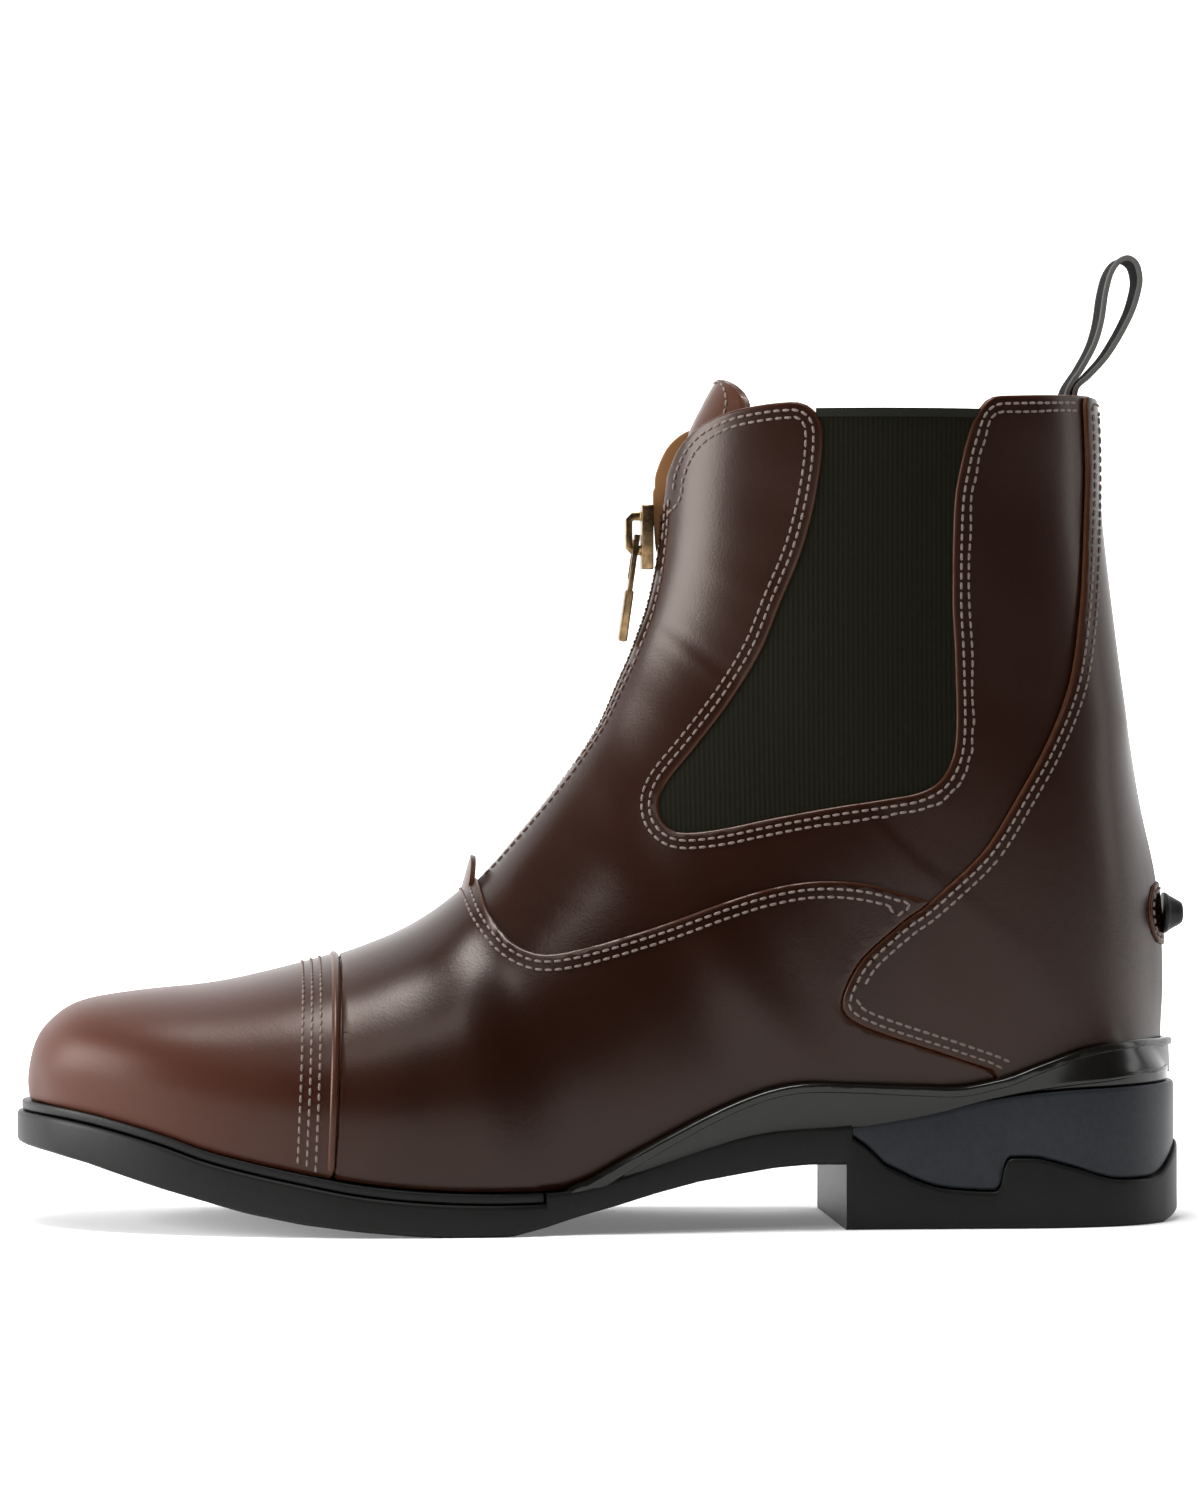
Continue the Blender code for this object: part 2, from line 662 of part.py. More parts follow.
def cup_edges():
    """Side view lines of the cup: place along, rim, lower edge of the lip and lower edge of the cup."""
    rows_at = table(CUP_COLUMNS, CUP_ROWS, "along")
    along = np.concatenate([np.linspace(rows_at[0], rows_at[-1], 18), [CUT_END]])
    x = along_x(along)
    rim = seat(x) + CUP_HEIGHT * curve(rows_at, table(CUP_COLUMNS, CUP_ROWS, "rim"), along)
    low = seat(x) + CUP_HEIGHT * curve(rows_at, table(CUP_COLUMNS, CUP_ROWS, "low"), along)
    return x, rim, np.maximum(rim - CUP_LIP_HEIGHT, (rim + low) / 2), np.maximum(low, seat(x) + 2 * GAP)


def make_cup(material, collection, cutters):
    """The cup hugs the waist and heel over the overlays, with a lip along its rim."""
    x, rim, lip, low = cup_edges()
    body_region = np.concatenate([np.stack([x, rim], 1), np.stack([x, low], 1)[::-1]])
    lip_region = np.concatenate([np.stack([x, rim], 1), np.stack([x, lip], 1)[::-1]])
    first = 3 * GAP + COUNTER_LAYER
    cup = shell("shank_cup", first, first + CUP_WALL, COUNTER_SECTIONS, material, collection)
    cut(cup, prism("cup_region", body_region, CUT_HALF_WIDTH, cutters), "INTERSECT")
    lip = shell("cup_lip", first, first + CUP_WALL + CUP_LIP, COUNTER_SECTIONS, None, cutters)
    cut(lip, prism("lip_region", lip_region, CUT_HALF_WIDTH, cutters), "INTERSECT")
    cut(cup, lip, "UNION")


def front_line(low_up, high_up, count):
    """Points on the front line between two heights."""
    heights = level(table(UPPER_COLUMNS, UPPER_SECTIONS, "up"))
    places = along_x(table(UPPER_COLUMNS, UPPER_SECTIONS, "front"))
    z = np.linspace(level(low_up), level(high_up), count)
    return np.stack([curve(heights, places, z), z], 1)


def move_path(path, distance):
    """A side view path, moved to its right hand side as it runs."""
    run = np.gradient(path, axis=0)
    run /= np.linalg.norm(run, axis=1)[:, None]
    return path + distance * np.stack([run[:, 1], -run[:, 0]], 1)


def ribbon(name, path, layer, half_width, material, collection):
    """A flat strip along a side view path."""
    sheets = []
    for distance in (-layer / 2, layer / 2):
        moved = move_path(path, distance)
        sides = []
        for y in (-half_width, half_width):
            sides.append(np.column_stack([moved[:, 0], np.full(len(path), y), moved[:, 1]]))
        sheets.append(np.stack(sides, 1).reshape(-1, 3))
    return two_sided(name, *sheets, len(path), 2, material, collection)


def make_upper(material, collection, cutters):
    upper = shell("upper", -WALL, 0, ALL_SECTIONS, material, collection)
    collar = side_points(COLLAR_EDGE)
    front = along_x(CUT_START)
    beyond = along_x(CUT_END)
    region = np.concatenate([
        [(front, collar[0, 1])], collar, [(beyond, collar[-1, 1])], above_seat(front, beyond, GAP)[::-1],
    ])
    cut(upper, prism("upper_region", region, CUT_HALF_WIDTH, cutters), "INTERSECT")
    cut(upper, prism("gore_cut", side_points(GORE_EDGE), CUT_HALF_WIDTH, cutters), "DIFFERENCE")
    line = front_line(ZIP_ROOT, BACK_TOP, 14)
    slit = np.concatenate([move_path(line, -ZIP_WIDTH), move_path(line, 3 * WALL)[::-1]])
    cut(upper, prism("zip_cut", slit, ZIP_WIDTH / 2, cutters), "DIFFERENCE")
    return upper


def make_gores(material, collection, cutters):
    """The gores fill the openings, a little below the leather."""
    edge = side_points(GORE_EDGE)
    middle = edge.mean(axis=0)
    run = np.gradient(edge, axis=0)
    run /= np.linalg.norm(run, axis=1)[:, None]
    inwards = np.stack([-run[:, 1], run[:, 0]], 1)
    if np.sum(inwards * (middle - edge)) < 0:
        inwards = -inwards
    inner = edge + GAP * inwards
    top = level(COLLAR_EDGE[9][1]) - GAP
    inner[:, 1] = np.minimum(inner[:, 1], top)
    for side, sign in (("lateral", -1), ("medial", 1)):
        high = -GORE_DEPTH
        gore = shell(f"gore_{side}", high - GORE_LAYER, high, GORE_SECTIONS, material, collection)
        middle_y = sign * GORE_CUT_MIDDLE
        cutter = prism(f"gore_{side}_edge", inner, GORE_CUT_HALF, cutters, middle_y)
        cut(gore, cutter, "INTERSECT")


def above_seat(start_x, end_x, rise):
    """Side view points that rise just above the seat line, where a layer ends."""
    x = np.linspace(start_x, end_x, 2 + int(40 * abs(end_x - start_x) / LENGTH))
    return np.stack([x, seat(x) + rise], 1)


def make_overlays(leather, collection, cutters):
    cap_line = side_points(CAP_EDGE)
    far = along_x(CUT_START)
    roof = level(1.15)
    cap_region = np.concatenate([
        above_seat(far, cap_line[0, 0], 2 * GAP), cap_line[1:],
        [(cap_line[-1, 0], roof), (far, roof)],
    ])
    cap = shell("toe_cap", GAP, GAP + CAP_LAYER, CAP_SECTIONS, leather, collection)
    cut(cap, prism("cap_region", cap_region, CUT_HALF_WIDTH, cutters), "INTERSECT")

    step = np.array([GAP, 0])
    vamp_top = side_points(VAMP_EDGE)
    heel_edge = side_points(COUNTER_EDGE)
    below = heel_edge[heel_edge[:, 1] < vamp_top[-1, 1]]
    vamp_region = np.concatenate([
        cap_line[1:] + step, [(cap_line[-1, 0] + GAP, level(1.1))], vamp_top, below - step,
        above_seat(cap_line[0, 0] + GAP, below[-1, 0] - GAP, 2 * GAP)[::-1],
    ])
    vamp = shell("vamp", GAP, GAP + VAMP_LAYER, VAMP_SECTIONS, leather, collection)
    cut(vamp, prism("vamp_region", vamp_region, CUT_HALF_WIDTH, cutters), "INTERSECT")

    beyond = along_x(CUT_END)
    collar_top = level(COUNTER_TOP)
    rear = heel_edge[heel_edge[:, 1] < collar_top]
    counter_region = np.concatenate([
        [(heel_edge[0, 0], collar_top)], rear,
        above_seat(rear[-1, 0], beyond, 2 * GAP), [(beyond, collar_top)],
    ])
    counter = shell("counter", GAP, GAP + COUNTER_LAYER, COUNTER_SECTIONS, leather, collection)
    cut(counter, prism("counter_region", counter_region, CUT_HALF_WIDTH, cutters), "INTERSECT")


def make_zip_chain(material, collection):
    line = front_line(ZIP_ROOT + 2 * GAP / INSTEP_HEIGHT, CHAIN_TOP, 14)
    path = move_path(line, ZIP_LAYER / 2 + GAP)
    return ribbon("zip_chain", path, ZIP_LAYER, ZIP_WIDTH / 2 - GAP, material, collection)


def make_tongue(material, collection):
    """The guard follows the inside of the shaft and leans back above the zip, to a round tab."""
    grid, out = upper_grid()
    inside = (grid - WALL * out).reshape(-1, 3)
    wall = BVHTree.FromPolygons([tuple(point) for point in inside], grid_faces(*grid.shape[:2]))
    rest = np.linspace(1, 0, TONGUE_ROWS) ** 1.6
    heights = TONGUE_HEIGHT - (TONGUE_HEIGHT - level(TONGUE_ROOT)) * rest
    left = (heights[-1] - heights) / (TONGUE_WIDTH / 2)
    round_top = np.sqrt(np.clip(1 - np.clip(1 - left, 0, 1) ** 3, 0.05, 1))
    lean_share = np.clip((heights - level(TONGUE_BEND)) / (TONGUE_HEIGHT - level(TONGUE_BEND)), 0, 1)
    lean = TONGUE_LEAN * lean_share**1.5
    front = []
    for z, half, back, share in zip(heights, TONGUE_WIDTH / 2 * round_top, lean, lean_share):
        for y in half * np.linspace(-1, 1, TONGUE_COLUMNS):
            start = Vector((SHAFT_WIDTH, y, min(z, grid[-1, UPPER_HALF_COLUMNS, 2] - 3 * WALL)))
            hit = wall.ray_cast(start, Vector((-1, 0, 0)))[0]
            bow = TONGUE_BOW * share * (2 * y / TONGUE_WIDTH) ** 2
            front.append((hit.x + TONGUE_CLEARANCE + back + bow, y, z))
    front = np.array(front)
    rear = front + (TONGUE_LAYER, 0, 0)
    return two_sided("tongue", front, rear, len(heights), TONGUE_COLUMNS, material, collection)


def two_sided(name, first, second, rows, columns, material, collection):
    """A closed sheet between two grids of points."""
    faces = grid_faces(rows, columns)
    faces += [tuple(index + rows * columns for index in face) for face in faces]
    rim = [*range(columns)]
    rim += [row * columns + columns - 1 for row in range(1, rows)]
    rim += [(rows - 1) * columns + column for column in range(columns - 2, -1, -1)]
    rim += [row * columns for row in range(rows - 2, 0, -1)]
    for index, start in enumerate(rim):
        ahead = rim[(index + 1) % len(rim)]
        faces.append((start, ahead, ahead + rows * columns, start + rows * columns))
    return make_object(name, np.concatenate([first, second]), faces, material, collection)


def make_pull_loop(material, collection):
    """The loop's two ends lie on each other inside the back of the collar."""
    top = SHAFT_HEIGHT + 2 * GAP
    spread = (LOOP_WIDTH / 2) ** 2 / (BACK_ROUNDING * SHAFT_WIDTH)
    outer_x = back_x(top) - WALL - spread - GAP - LOOP_LAYER / 2
    inner_x = outer_x - LOOP_LAYER - GAP
    base = np.array([inner_x, top])
    loop = base + LOOP_REACH * np.array(LOOP_PATH)
    loop[-1, 0] = outer_x + LOOP_LAYER / 2
    tail_in = [(inner_x, top - LOOP_TAIL), (inner_x, top - LOOP_TAIL / 2)]
    tail_out = [(outer_x, top - LOOP_TAIL / 2), (outer_x, top - LOOP_TAIL)]
    path = np.concatenate([tail_in, loop, tail_out])
    return ribbon("pull_loop", path, LOOP_LAYER, LOOP_WIDTH / 2, material, collection)


def make_spur_rest(material, collection):
    """A turned rubber stub, pointing back from the heel."""
    z = level(SPUR_UP)
    heights = np.linspace(z - 1.3 * SPUR_RADIUS, z + 1.3 * SPUR_RADIUS, 5)
    start = float(back_x(heights).max()) + 2 * GAP + COUNTER_LAYER
    profile = ((0, 0), (1.25, 0), (1.25, 0.2), (1.0, 0.32), (0.95, 0.75), (0.6, 1.0), (0, 1.0))
    points = []
    steps = 16
    for radius, reach in profile:
        for step in range(steps):
            angle = 2 * math.pi * step / steps
            y = SPUR_RADIUS * radius * math.cos(angle)
            up = SPUR_RADIUS * radius * math.sin(angle)
            points.append((start + SPUR_REACH * reach, y, z + up))
    faces = []
    for tier in range(len(profile) - 1):
        for step in range(steps):
            ahead = (step + 1) % steps
            low = tier * steps
            faces.append((low + step, low + ahead, low + steps + ahead, low + steps + step))
    return make_object("spur_rest", points, faces, material, collection)


def hinge_place():
    """Centre of the pull's hinge bar and front face of the slider's plate, in side view."""
    z = float(level(SLIDER_UP))
    reach = SLIDER_HEIGHT / 2 / (SHAFT_HEIGHT - INSTEP_HEIGHT)
    front = front_line(SLIDER_UP - reach, SLIDER_UP + reach, 9)[:, 0].min()
    face = float(front) - GAP - SLIDER_PLATE
    return face - (BRIDGE_REACH - SLIDER_PLATE - BRIDGE_BAR) / 2, z, face


def make_slider(material, collection, cutters):
    """The slider's plate lies on the zip, and its bridge holds the pull."""
    _, z, face = hinge_place()
    front = face + SLIDER_PLATE - BRIDGE_REACH
    half = SLIDER_HEIGHT / 2
    bar = BRIDGE_BAR
    bpy.ops.mesh.primitive_cube_add(size=1)
    body = bpy.context.object
    body.name = "zip_slider"
    body.data.transform(Matrix.Translation((face + SLIDER_PLATE / 2, 0, z))
                        @ Matrix.Diagonal((SLIDER_PLATE, SLIDER_WIDTH, SLIDER_HEIGHT, 1)))
    body.data.materials.append(material)
    for holder in body.users_collection:
        holder.objects.unlink(body)
    collection.objects.link(body)
    arch = [
        (face + SLIDER_PLATE / 2, z + half - bar), (front + bar, z + half - bar),
        (front, z + half - 2 * bar), (front, z - half + 3 * bar),
        (front + bar, z - half + 2 * bar), (face + SLIDER_PLATE / 2, z - half + 2 * bar),
    ]
    bridge = prism("slider_bridge", arch, BRIDGE_WIDTH / 2, cutters)
    hole = [
        (face, z + half - 2.2 * bar), (front + bar, z + half - 2.2 * bar),
        (front + bar, z - half + 3.4 * bar), (face, z - half + 3.4 * bar),
    ]
    window = prism("slider_window", hole, BRIDGE_WIDTH, cutters)
    cut(bridge, window, "DIFFERENCE")
    cut(body, bridge, "UNION")
    return body


def make_pull(material, collection, cutters):
    """The pull is a link with a window round the bridge, and a thicker tab below."""
    hinge_x, z, _ = hinge_place()
    link = PULL_LINK_LAYER
    reach = PULL_LENGTH - PULL_TAB
    half = PULL_WIDTH / 2
    window_half = BRIDGE_WIDTH / 2 + 2.5 * GAP
    outer = [(-half, link / 2), (half, link / 2), (half, -reach), (-half, -reach)]
    window = [
        (-window_half, -link / 2), (window_half, -link / 2),
        (window_half, -PULL_WINDOW), (-window_half, -PULL_WINDOW),
    ]
    pull = box_between("zip_pull", outer, link, material, collection)
    gap = box_between("pull_window", window, link * 3, None, cutters)
    tab_top = -reach + link
    tab_outline = [(-half, tab_top), (half, tab_top), (half, -PULL_LENGTH), (-half, -PULL_LENGTH)]
    tab = box_between("pull_tab", tab_outline, PULL_TAB_LAYER, None, cutters)
    soften = tab.modifiers.new("edge", "BEVEL")
    soften.width = PULL_TAB_LAYER / 4
    soften.segments = 2
    for item in (pull, gap, tab):
        item.location = (hinge_x, 0, z)
        item.rotation_euler = (0, PULL_LEAN, 0)
    cut(pull, gap, "DIFFERENCE")
    cut(pull, tab, "UNION")
    return pull


def box_between(name, corners, layer, material, collection):
    """An upright plate across the boot, from its corners in front view."""
    ys = [corner[0] for corner in corners]
    zs = [corner[1] for corner in corners]
    mesh = bpy.data.meshes.new(name)
    shape = bmesh.new()
    size = (layer, max(ys) - min(ys), max(zs) - min(zs))
    middle = (0, (max(ys) + min(ys)) / 2, (max(zs) + min(zs)) / 2)
    bmesh.ops.create_cube(shape, size=1, matrix=Matrix.Translation(middle) @ Matrix.Diagonal((*size, 1)))
    shape.to_mesh(mesh)
    shape.free()
    if material:
        mesh.materials.append(material)
    item = bpy.data.objects.new(name, mesh)
    collection.objects.link(item)
    return item


def main():
    for item in list(bpy.data.objects):
        bpy.data.objects.remove(item, do_unlink=True)
    boot = bpy.data.collections.new("paddock_boot")
    cutters = bpy.data.collections.new("cutters")
    bpy.context.scene.collection.children.link(boot)
    bpy.context.scene.collection.children.link(cutters)

    rubber = make_material("sole_rubber", (0.022, 0.020, 0.018), 0.65)
    slate = make_material("insert_rubber", (0.030, 0.032, 0.037), 0.6)
    gloss = make_material("cup_plastic", (0.008, 0.008, 0.009), 0.2)
    leather = make_material("brown_leather", (0.050, 0.020, 0.010), 0.4)
    lining = make_material("tan_lining", (0.45, 0.26, 0.11), 0.6)
    elastic = make_material("gore_elastic", (0.012, 0.012, 0.009), 0.85)
    webbing = make_material("loop_webbing", (0.020, 0.018, 0.018), 0.8)
    brass = make_material("dark_brass", (0.18, 0.13, 0.07), 0.4, 1.0)

    make_outsole(rubber, boot)
    make_midsole(rubber, boot)
    make_heel_insert(slate, boot)
    make_insole(lining, boot)
    make_cup(gloss, boot, cutters)
    make_upper(leather, boot, cutters)
    make_overlays(leather, boot, cutters)
    make_gores(elastic, boot, cutters)
    make_zip_chain(brass, boot)
    make_tongue(leather, boot)
    make_pull_loop(webbing, boot)
    make_spur_rest(rubber, boot)
    make_slider(brass, boot, cutters)
    make_pull(brass, boot, cutters)


main()
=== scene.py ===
"""Looks of the left paddock boot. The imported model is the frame: toe to -X, outer side to -Y, metres.

The leather pieces are cut from one smooth surface. It comes from the same sections that shape the solids.
"""

import math

import bmesh
import bpy
import numpy as np
from mathutils import Matrix, Vector
from mathutils.bvhtree import BVHTree


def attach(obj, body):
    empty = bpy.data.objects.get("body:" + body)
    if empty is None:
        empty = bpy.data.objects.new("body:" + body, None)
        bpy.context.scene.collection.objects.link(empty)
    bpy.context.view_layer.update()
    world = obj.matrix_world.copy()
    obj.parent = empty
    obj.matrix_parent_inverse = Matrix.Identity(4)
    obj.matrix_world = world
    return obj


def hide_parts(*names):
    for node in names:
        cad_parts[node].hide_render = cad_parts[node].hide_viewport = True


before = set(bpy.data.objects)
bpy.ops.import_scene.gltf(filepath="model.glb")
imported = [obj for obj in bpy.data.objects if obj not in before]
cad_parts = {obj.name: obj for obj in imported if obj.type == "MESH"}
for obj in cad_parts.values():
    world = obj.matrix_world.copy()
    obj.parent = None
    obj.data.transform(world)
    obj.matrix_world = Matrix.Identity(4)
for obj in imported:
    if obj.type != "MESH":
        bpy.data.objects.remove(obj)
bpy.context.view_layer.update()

# Sizes of the part
LENGTH = 0.298
BALL_WIDTH = 0.103
HEEL_WIDTH = 0.069
SHAFT_WIDTH = 0.070
HEEL_STACK = 0.036
INSTEP_HEIGHT = 0.100
SHAFT_HEIGHT = 0.212
WALL = 0.002
GAP = 0.0003
SEAT_INSET = 0.005
WELT_HEIGHT = 0.0024
WELT_INSET = 0.0012
EDGE_CHAMFER = 0.0012
VAMP_LAYER = 0.0010
COUNTER_LAYER = 0.0013
CAP_LAYER = 0.0016
CUP_WALL = 0.0015
CUP_LIP = 0.0007
CUP_LIP_HEIGHT = 0.0022
CUP_HEIGHT = 0.012
INSERT_INSET = 0.0009
GORE_DEPTH = 0.0007
GORE_LAYER = 0.0012
ZIP_WIDTH = 0.0064
ZIP_LAYER = 0.0016
TONGUE_LAYER = 0.0016
TONGUE_WIDTH = 0.034
TONGUE_HEIGHT = 0.2155
TONGUE_LEAN = 0.0095
TONGUE_BOW = 0.0030
TONGUE_CLEARANCE = 0.0010
LOOP_LAYER = 0.0012
LOOP_WIDTH = 0.013
LOOP_TAIL = 0.014
LOOP_REACH = 0.035
SPUR_RADIUS = 0.0042
SPUR_REACH = 0.0052
BACK_ROUNDING = 0.31

# Heights as in level()
TONGUE_ROOT = 1.10
TONGUE_BEND = 1.70
ZIP_ROOT = 0.93
SPUR_UP = 0.785
COUNTER_TOP = 1.988
CHAIN_TOP = 1.735

# Steps of the meshes
UPPER_STEPS = ((0, 12, 96), (12, 18, 54), (18, 26, 56))
UPPER_HALF_COLUMNS = 66
CUT_START = -0.2
CUT_END = 1.2

# Smoothing of the surface. Each round on all of it shrinks it and swells it back. Round the heel it is
# relaxed too: from and fully from a place along, and down from and fully down from a height.
EVEN_ROUNDS = 90
EVEN_STEPS = (0.5, -0.51)
RELAX_ROUNDS = 260
RELAX_STEP = 0.45
RELAX_FROM = 0.78
RELAX_FULL = 0.86
RELAX_TOP = 1.25
RELAX_BASE = 0.75

# Share of the way down where an edge's rounding stops, and places of the edges that it needs
ROUND_STOP = 0.98
EDGE_RINGS = (0.0006, 0.0002)

# Stitches. STITCH_SHAPE has the place along and the thickness of each ring, STITCH_RISE is in radii
STITCH_PITCH = 0.00245
STITCH_LENGTH = 0.00215
STITCH_RADIUS = 0.00036
STITCH_RISE = 0.35
STITCH_SHAPE = ((-0.34, 0.8), (0.0, 1.0), (0.34, 0.8))
STITCH_SIDES = 6

# Places of stitch rows, from the edge of their panel, and how far from that edge they are looked for.
# The round patch has finer stitches
RIM_STITCHES = (0.0021, 0.0040)
VAMP_STITCHES = (0.0020, 0.0040)
COUNTER_STITCHES = (0.0018, 0.0038)
CAP_STITCHES = (0.0046, 0.0068, 0.0090)
ZIP_STITCHES = (0.0018, 0.0037)
PATCH_STITCHES = (0.0013,)
PATCH_PITCH = 0.0022
PATCH_LENGTH = 0.0016
EDGE_REACH = 0.0070
GORE_REACH = 0.0140

# Where stitch rows stop: short of the zip's slit, of the sole, in the cup (a share of its height), and
# short of other panels. The vamp's rows end at a distance behind the front of the counter
ZIP_STOP = 0.0034
SOLE_STOP = 0.0014
CUP_STOP = 0.5
PANEL_STOP = 0.0008
VAMP_STITCH_END = 0.06

# Corners of the quarters beside the gore's top
CORNER = 0.0065
CORNER_REAR = 0.0048

# How far the zip's slit runs back from the front line, and its stitches
SLIT_REACH = 0.020
ZIP_STITCH_REACH = 0.015

# Gores: how far they reach under the leather, and the height and rise of their binding
GORE_OVERLAP = 0.0015
BINDING_HEIGHT = 0.0022
BINDING_RISE = 0.0004

# Bead of the toe cap: place from the edge, radius, how deep it sits
BEAD_PLACE = 0.0011
BEAD_RADIUS = 0.0010
BEAD_SINK = 0.0004

# Cup: width of its lip's slope, and height and reach of its foot on the insert
CUP_LIP_SLOPE = 0.0004
CUP_FOOT = 0.0036
CUP_FOOT_REACH = 0.0026

# Place along from which the heel turns across
HEEL_TURN = 0.96

# Tongue: rows and columns, how rows crowd at the top, how late the lean starts
TONGUE_STEPS = (70, 33)
TONGUE_CROWDING = 1.6
TONGUE_LATE = 2.6

# Zip: how far the tape lies back, size, pitch and start of the teeth, and how far they stand from the
# middle and inwards
TAPE_BACK = 0.0007
TOOTH = (0.0012, 0.0024, 0.0008)
TOOTH_PITCH = 0.0011
TOOTH_START = 0.001
TOOTH_SIDE = 0.0009
TOOTH_SINK = 0.0008

# Selvedges of the loop: width, how far they stand past the webbing, thickness in shares of LOOP_LAYER
SELVEDGE = 0.0012
SELVEDGE_OVERLAP = 0.0010
SELVEDGE_LAYER = 1.15

# Spur rest: radius and reach in shares of SPUR_RADIUS and SPUR_REACH, radius of its foot, and the patch
# under it
SPUR_PROFILE = (
    (1.25, 0.0), (1.25, 0.14), (1.10, 0.30), (0.90, 0.58), (0.72, 0.84), (0.56, 0.97), (0.0, 1.0),
)
SPUR_SIDES = 48
SPUR_FOOT = 1.3
PATCH_RADIUS = 0.0085
PATCH_LAYER = 0.0007

# Edge of the inner quarter, seen in front of the outer one: how far it rises, runs down the zip and along
# the collar, where it lies across, its slope, its thickness, how far behind the front line the collar
# starts, and how steeply a face looks outwards to show the lining
FACING_RISE = 0.0024
FACING_DOWN = 0.016
FACING_ALONG = 0.009
FACING_ACROSS = (0.0020, 0.0085)
FACING_SLOPE = 0.10
FACING_LAYER = 0.0012
FACING_CLEAR = 0.0004
FACING_LINED = -0.7

# Tab at the zip's root: places along and heights of its root and tip, half width, thickness and bend
TAB_ROOT = (0.3790, 0.838)
TAB_TIP = (0.3885, 0.938)
TAB_HALF = 0.0095
TAB_LAYER = 0.0013
TAB_CURVE = 14.0

# Half width of the sole, in shares of BALL_WIDTH and HEEL_WIDTH, and the shift of its middle to the inside
PLAN_COLUMNS = ("along", "ball", "heel", "shift")
PLAN_ROWS = (
    (0.000, 0.000, 0.000, 0.090),
    (0.012, 0.150, 0.000, 0.085),
    (0.035, 0.255, 0.000, 0.080),
    (0.075, 0.345, 0.000, 0.068),
    (0.130, 0.418, 0.000, 0.050),
    (0.200, 0.470, 0.000, 0.030),
    (0.280, 0.500, 0.000, 0.010),
    (0.360, 0.492, 0.000, -0.005),
    (0.440, 0.446, 0.000, -0.015),
    (0.520, 0.260, 0.190, -0.020),
    (0.600, 0.100, 0.370, -0.020),
    (0.680, 0.000, 0.485, -0.012),
    (0.760, 0.000, 0.492, -0.004),
    (0.840, 0.000, 0.500, 0.000),
    (0.900, 0.000, 0.475, 0.000),
    (0.950, 0.000, 0.392, 0.000),
    (0.980, 0.000, 0.262, 0.000),
    (1.000, 0.000, 0.000, 0.000),
)

# Heights of the seat line and of the tread, in shares of HEEL_STACK
SOLE_COLUMNS = ("along", "seat", "tread")
SOLE_ROWS = (
    (0.000, 0.875, 0.570),
    (0.030, 0.860, 0.530),
    (0.060, 0.825, 0.475),
    (0.090, 0.770, 0.400),
    (0.125, 0.690, 0.314),
    (0.157, 0.600, 0.244),
    (0.195, 0.520, 0.160),
    (0.240, 0.442, 0.090),
    (0.290, 0.365, 0.040),
    (0.330, 0.328, 0.012),
    (0.355, 0.313, 0.000),
    (0.415, 0.300, 0.000),
    (0.445, 0.300, 0.055),
    (0.475, 0.330, 0.130),
    (0.507, 0.403, 0.200),
    (0.540, 0.494, 0.278),
    (0.575, 0.590, 0.350),
    (0.610, 0.668, 0.398),
    (0.640, 0.712, 0.436),
    (0.670, 0.728, 0.455),
    (0.700, 0.735, 0.455),
    (0.745, 0.778, 0.000),
    (0.780, 0.828, 0.000),
    (0.830, 0.917, 0.000),
    (0.885, 0.967, 0.000),
    (0.925, 0.980, 0.000),
    (1.000, 1.000, 0.000),
)
MIDSOLE_END = 0.445
BREAST = 0.700
INSERT_START = 0.7055
HEEL_BEVEL = (0.982, 0.060)

# Lower edge of the heel insert, in shares of HEEL_STACK
WAVE_COLUMNS = ("along", "height")
WAVE_ROWS = (
    (0.7055, 0.655),
    (0.718, 0.580),
    (0.734, 0.455),
    (0.745, 0.410),
    (0.760, 0.350),
    (0.778, 0.300),
    (0.800, 0.277),
    (0.825, 0.268),
    (0.831, 0.300),
    (0.835, 0.450),
    (0.842, 0.500),
    (0.860, 0.498),
    (0.880, 0.462),
    (0.900, 0.415),
    (0.920, 0.362),
    (0.938, 0.335),
    (0.960, 0.333),
    (0.976, 0.355),
    (0.987, 0.435),
    (1.000, 0.570),
)

# Rim and lower edge of the cup above the seat line, in shares of CUP_HEIGHT
CUP_COLUMNS = ("along", "rim", "low")
CUP_ROWS = (
    (0.455, 0.150, 0.02),
    (0.475, 0.210, 0.02),
    (0.507, 0.400, 0.02),
    (0.540, 0.550, 0.02),
    (0.575, 0.690, 0.02),
    (0.610, 0.825, 0.02),
    (0.640, 0.930, 0.02),
    (0.660, 0.965, 0.02),
    (0.705, 0.890, 0.02),
    (0.757, 0.680, 0.02),
    (0.805, 0.450, 0.02),
    (0.830, 0.430, 0.02),
    (0.865, 0.600, 0.02),
    (0.905, 0.830, 0.03),
    (0.940, 0.890, 0.04),
    (1.000, 0.890, 0.04),
)

# Back line of the upper: height as in level(), place along the length
BACK_COLUMNS = ("up", "along")
BACK_ROWS = (
    (0.34, 0.9790),
    (0.47, 0.9810),
    (0.60, 0.9835),
    (0.70, 0.9830),
    (0.87, 0.9775),
    (1.06, 0.9634),
    (1.25, 0.9520),
    (1.44, 0.9420),
    (1.59, 0.9350),
    (1.73, 0.9295),
    (1.80, 0.9285),
    (1.90, 0.9285),
    (2.00, 0.9245),
    (2.06, 0.9210),
)
BACK_TOP = 2.04

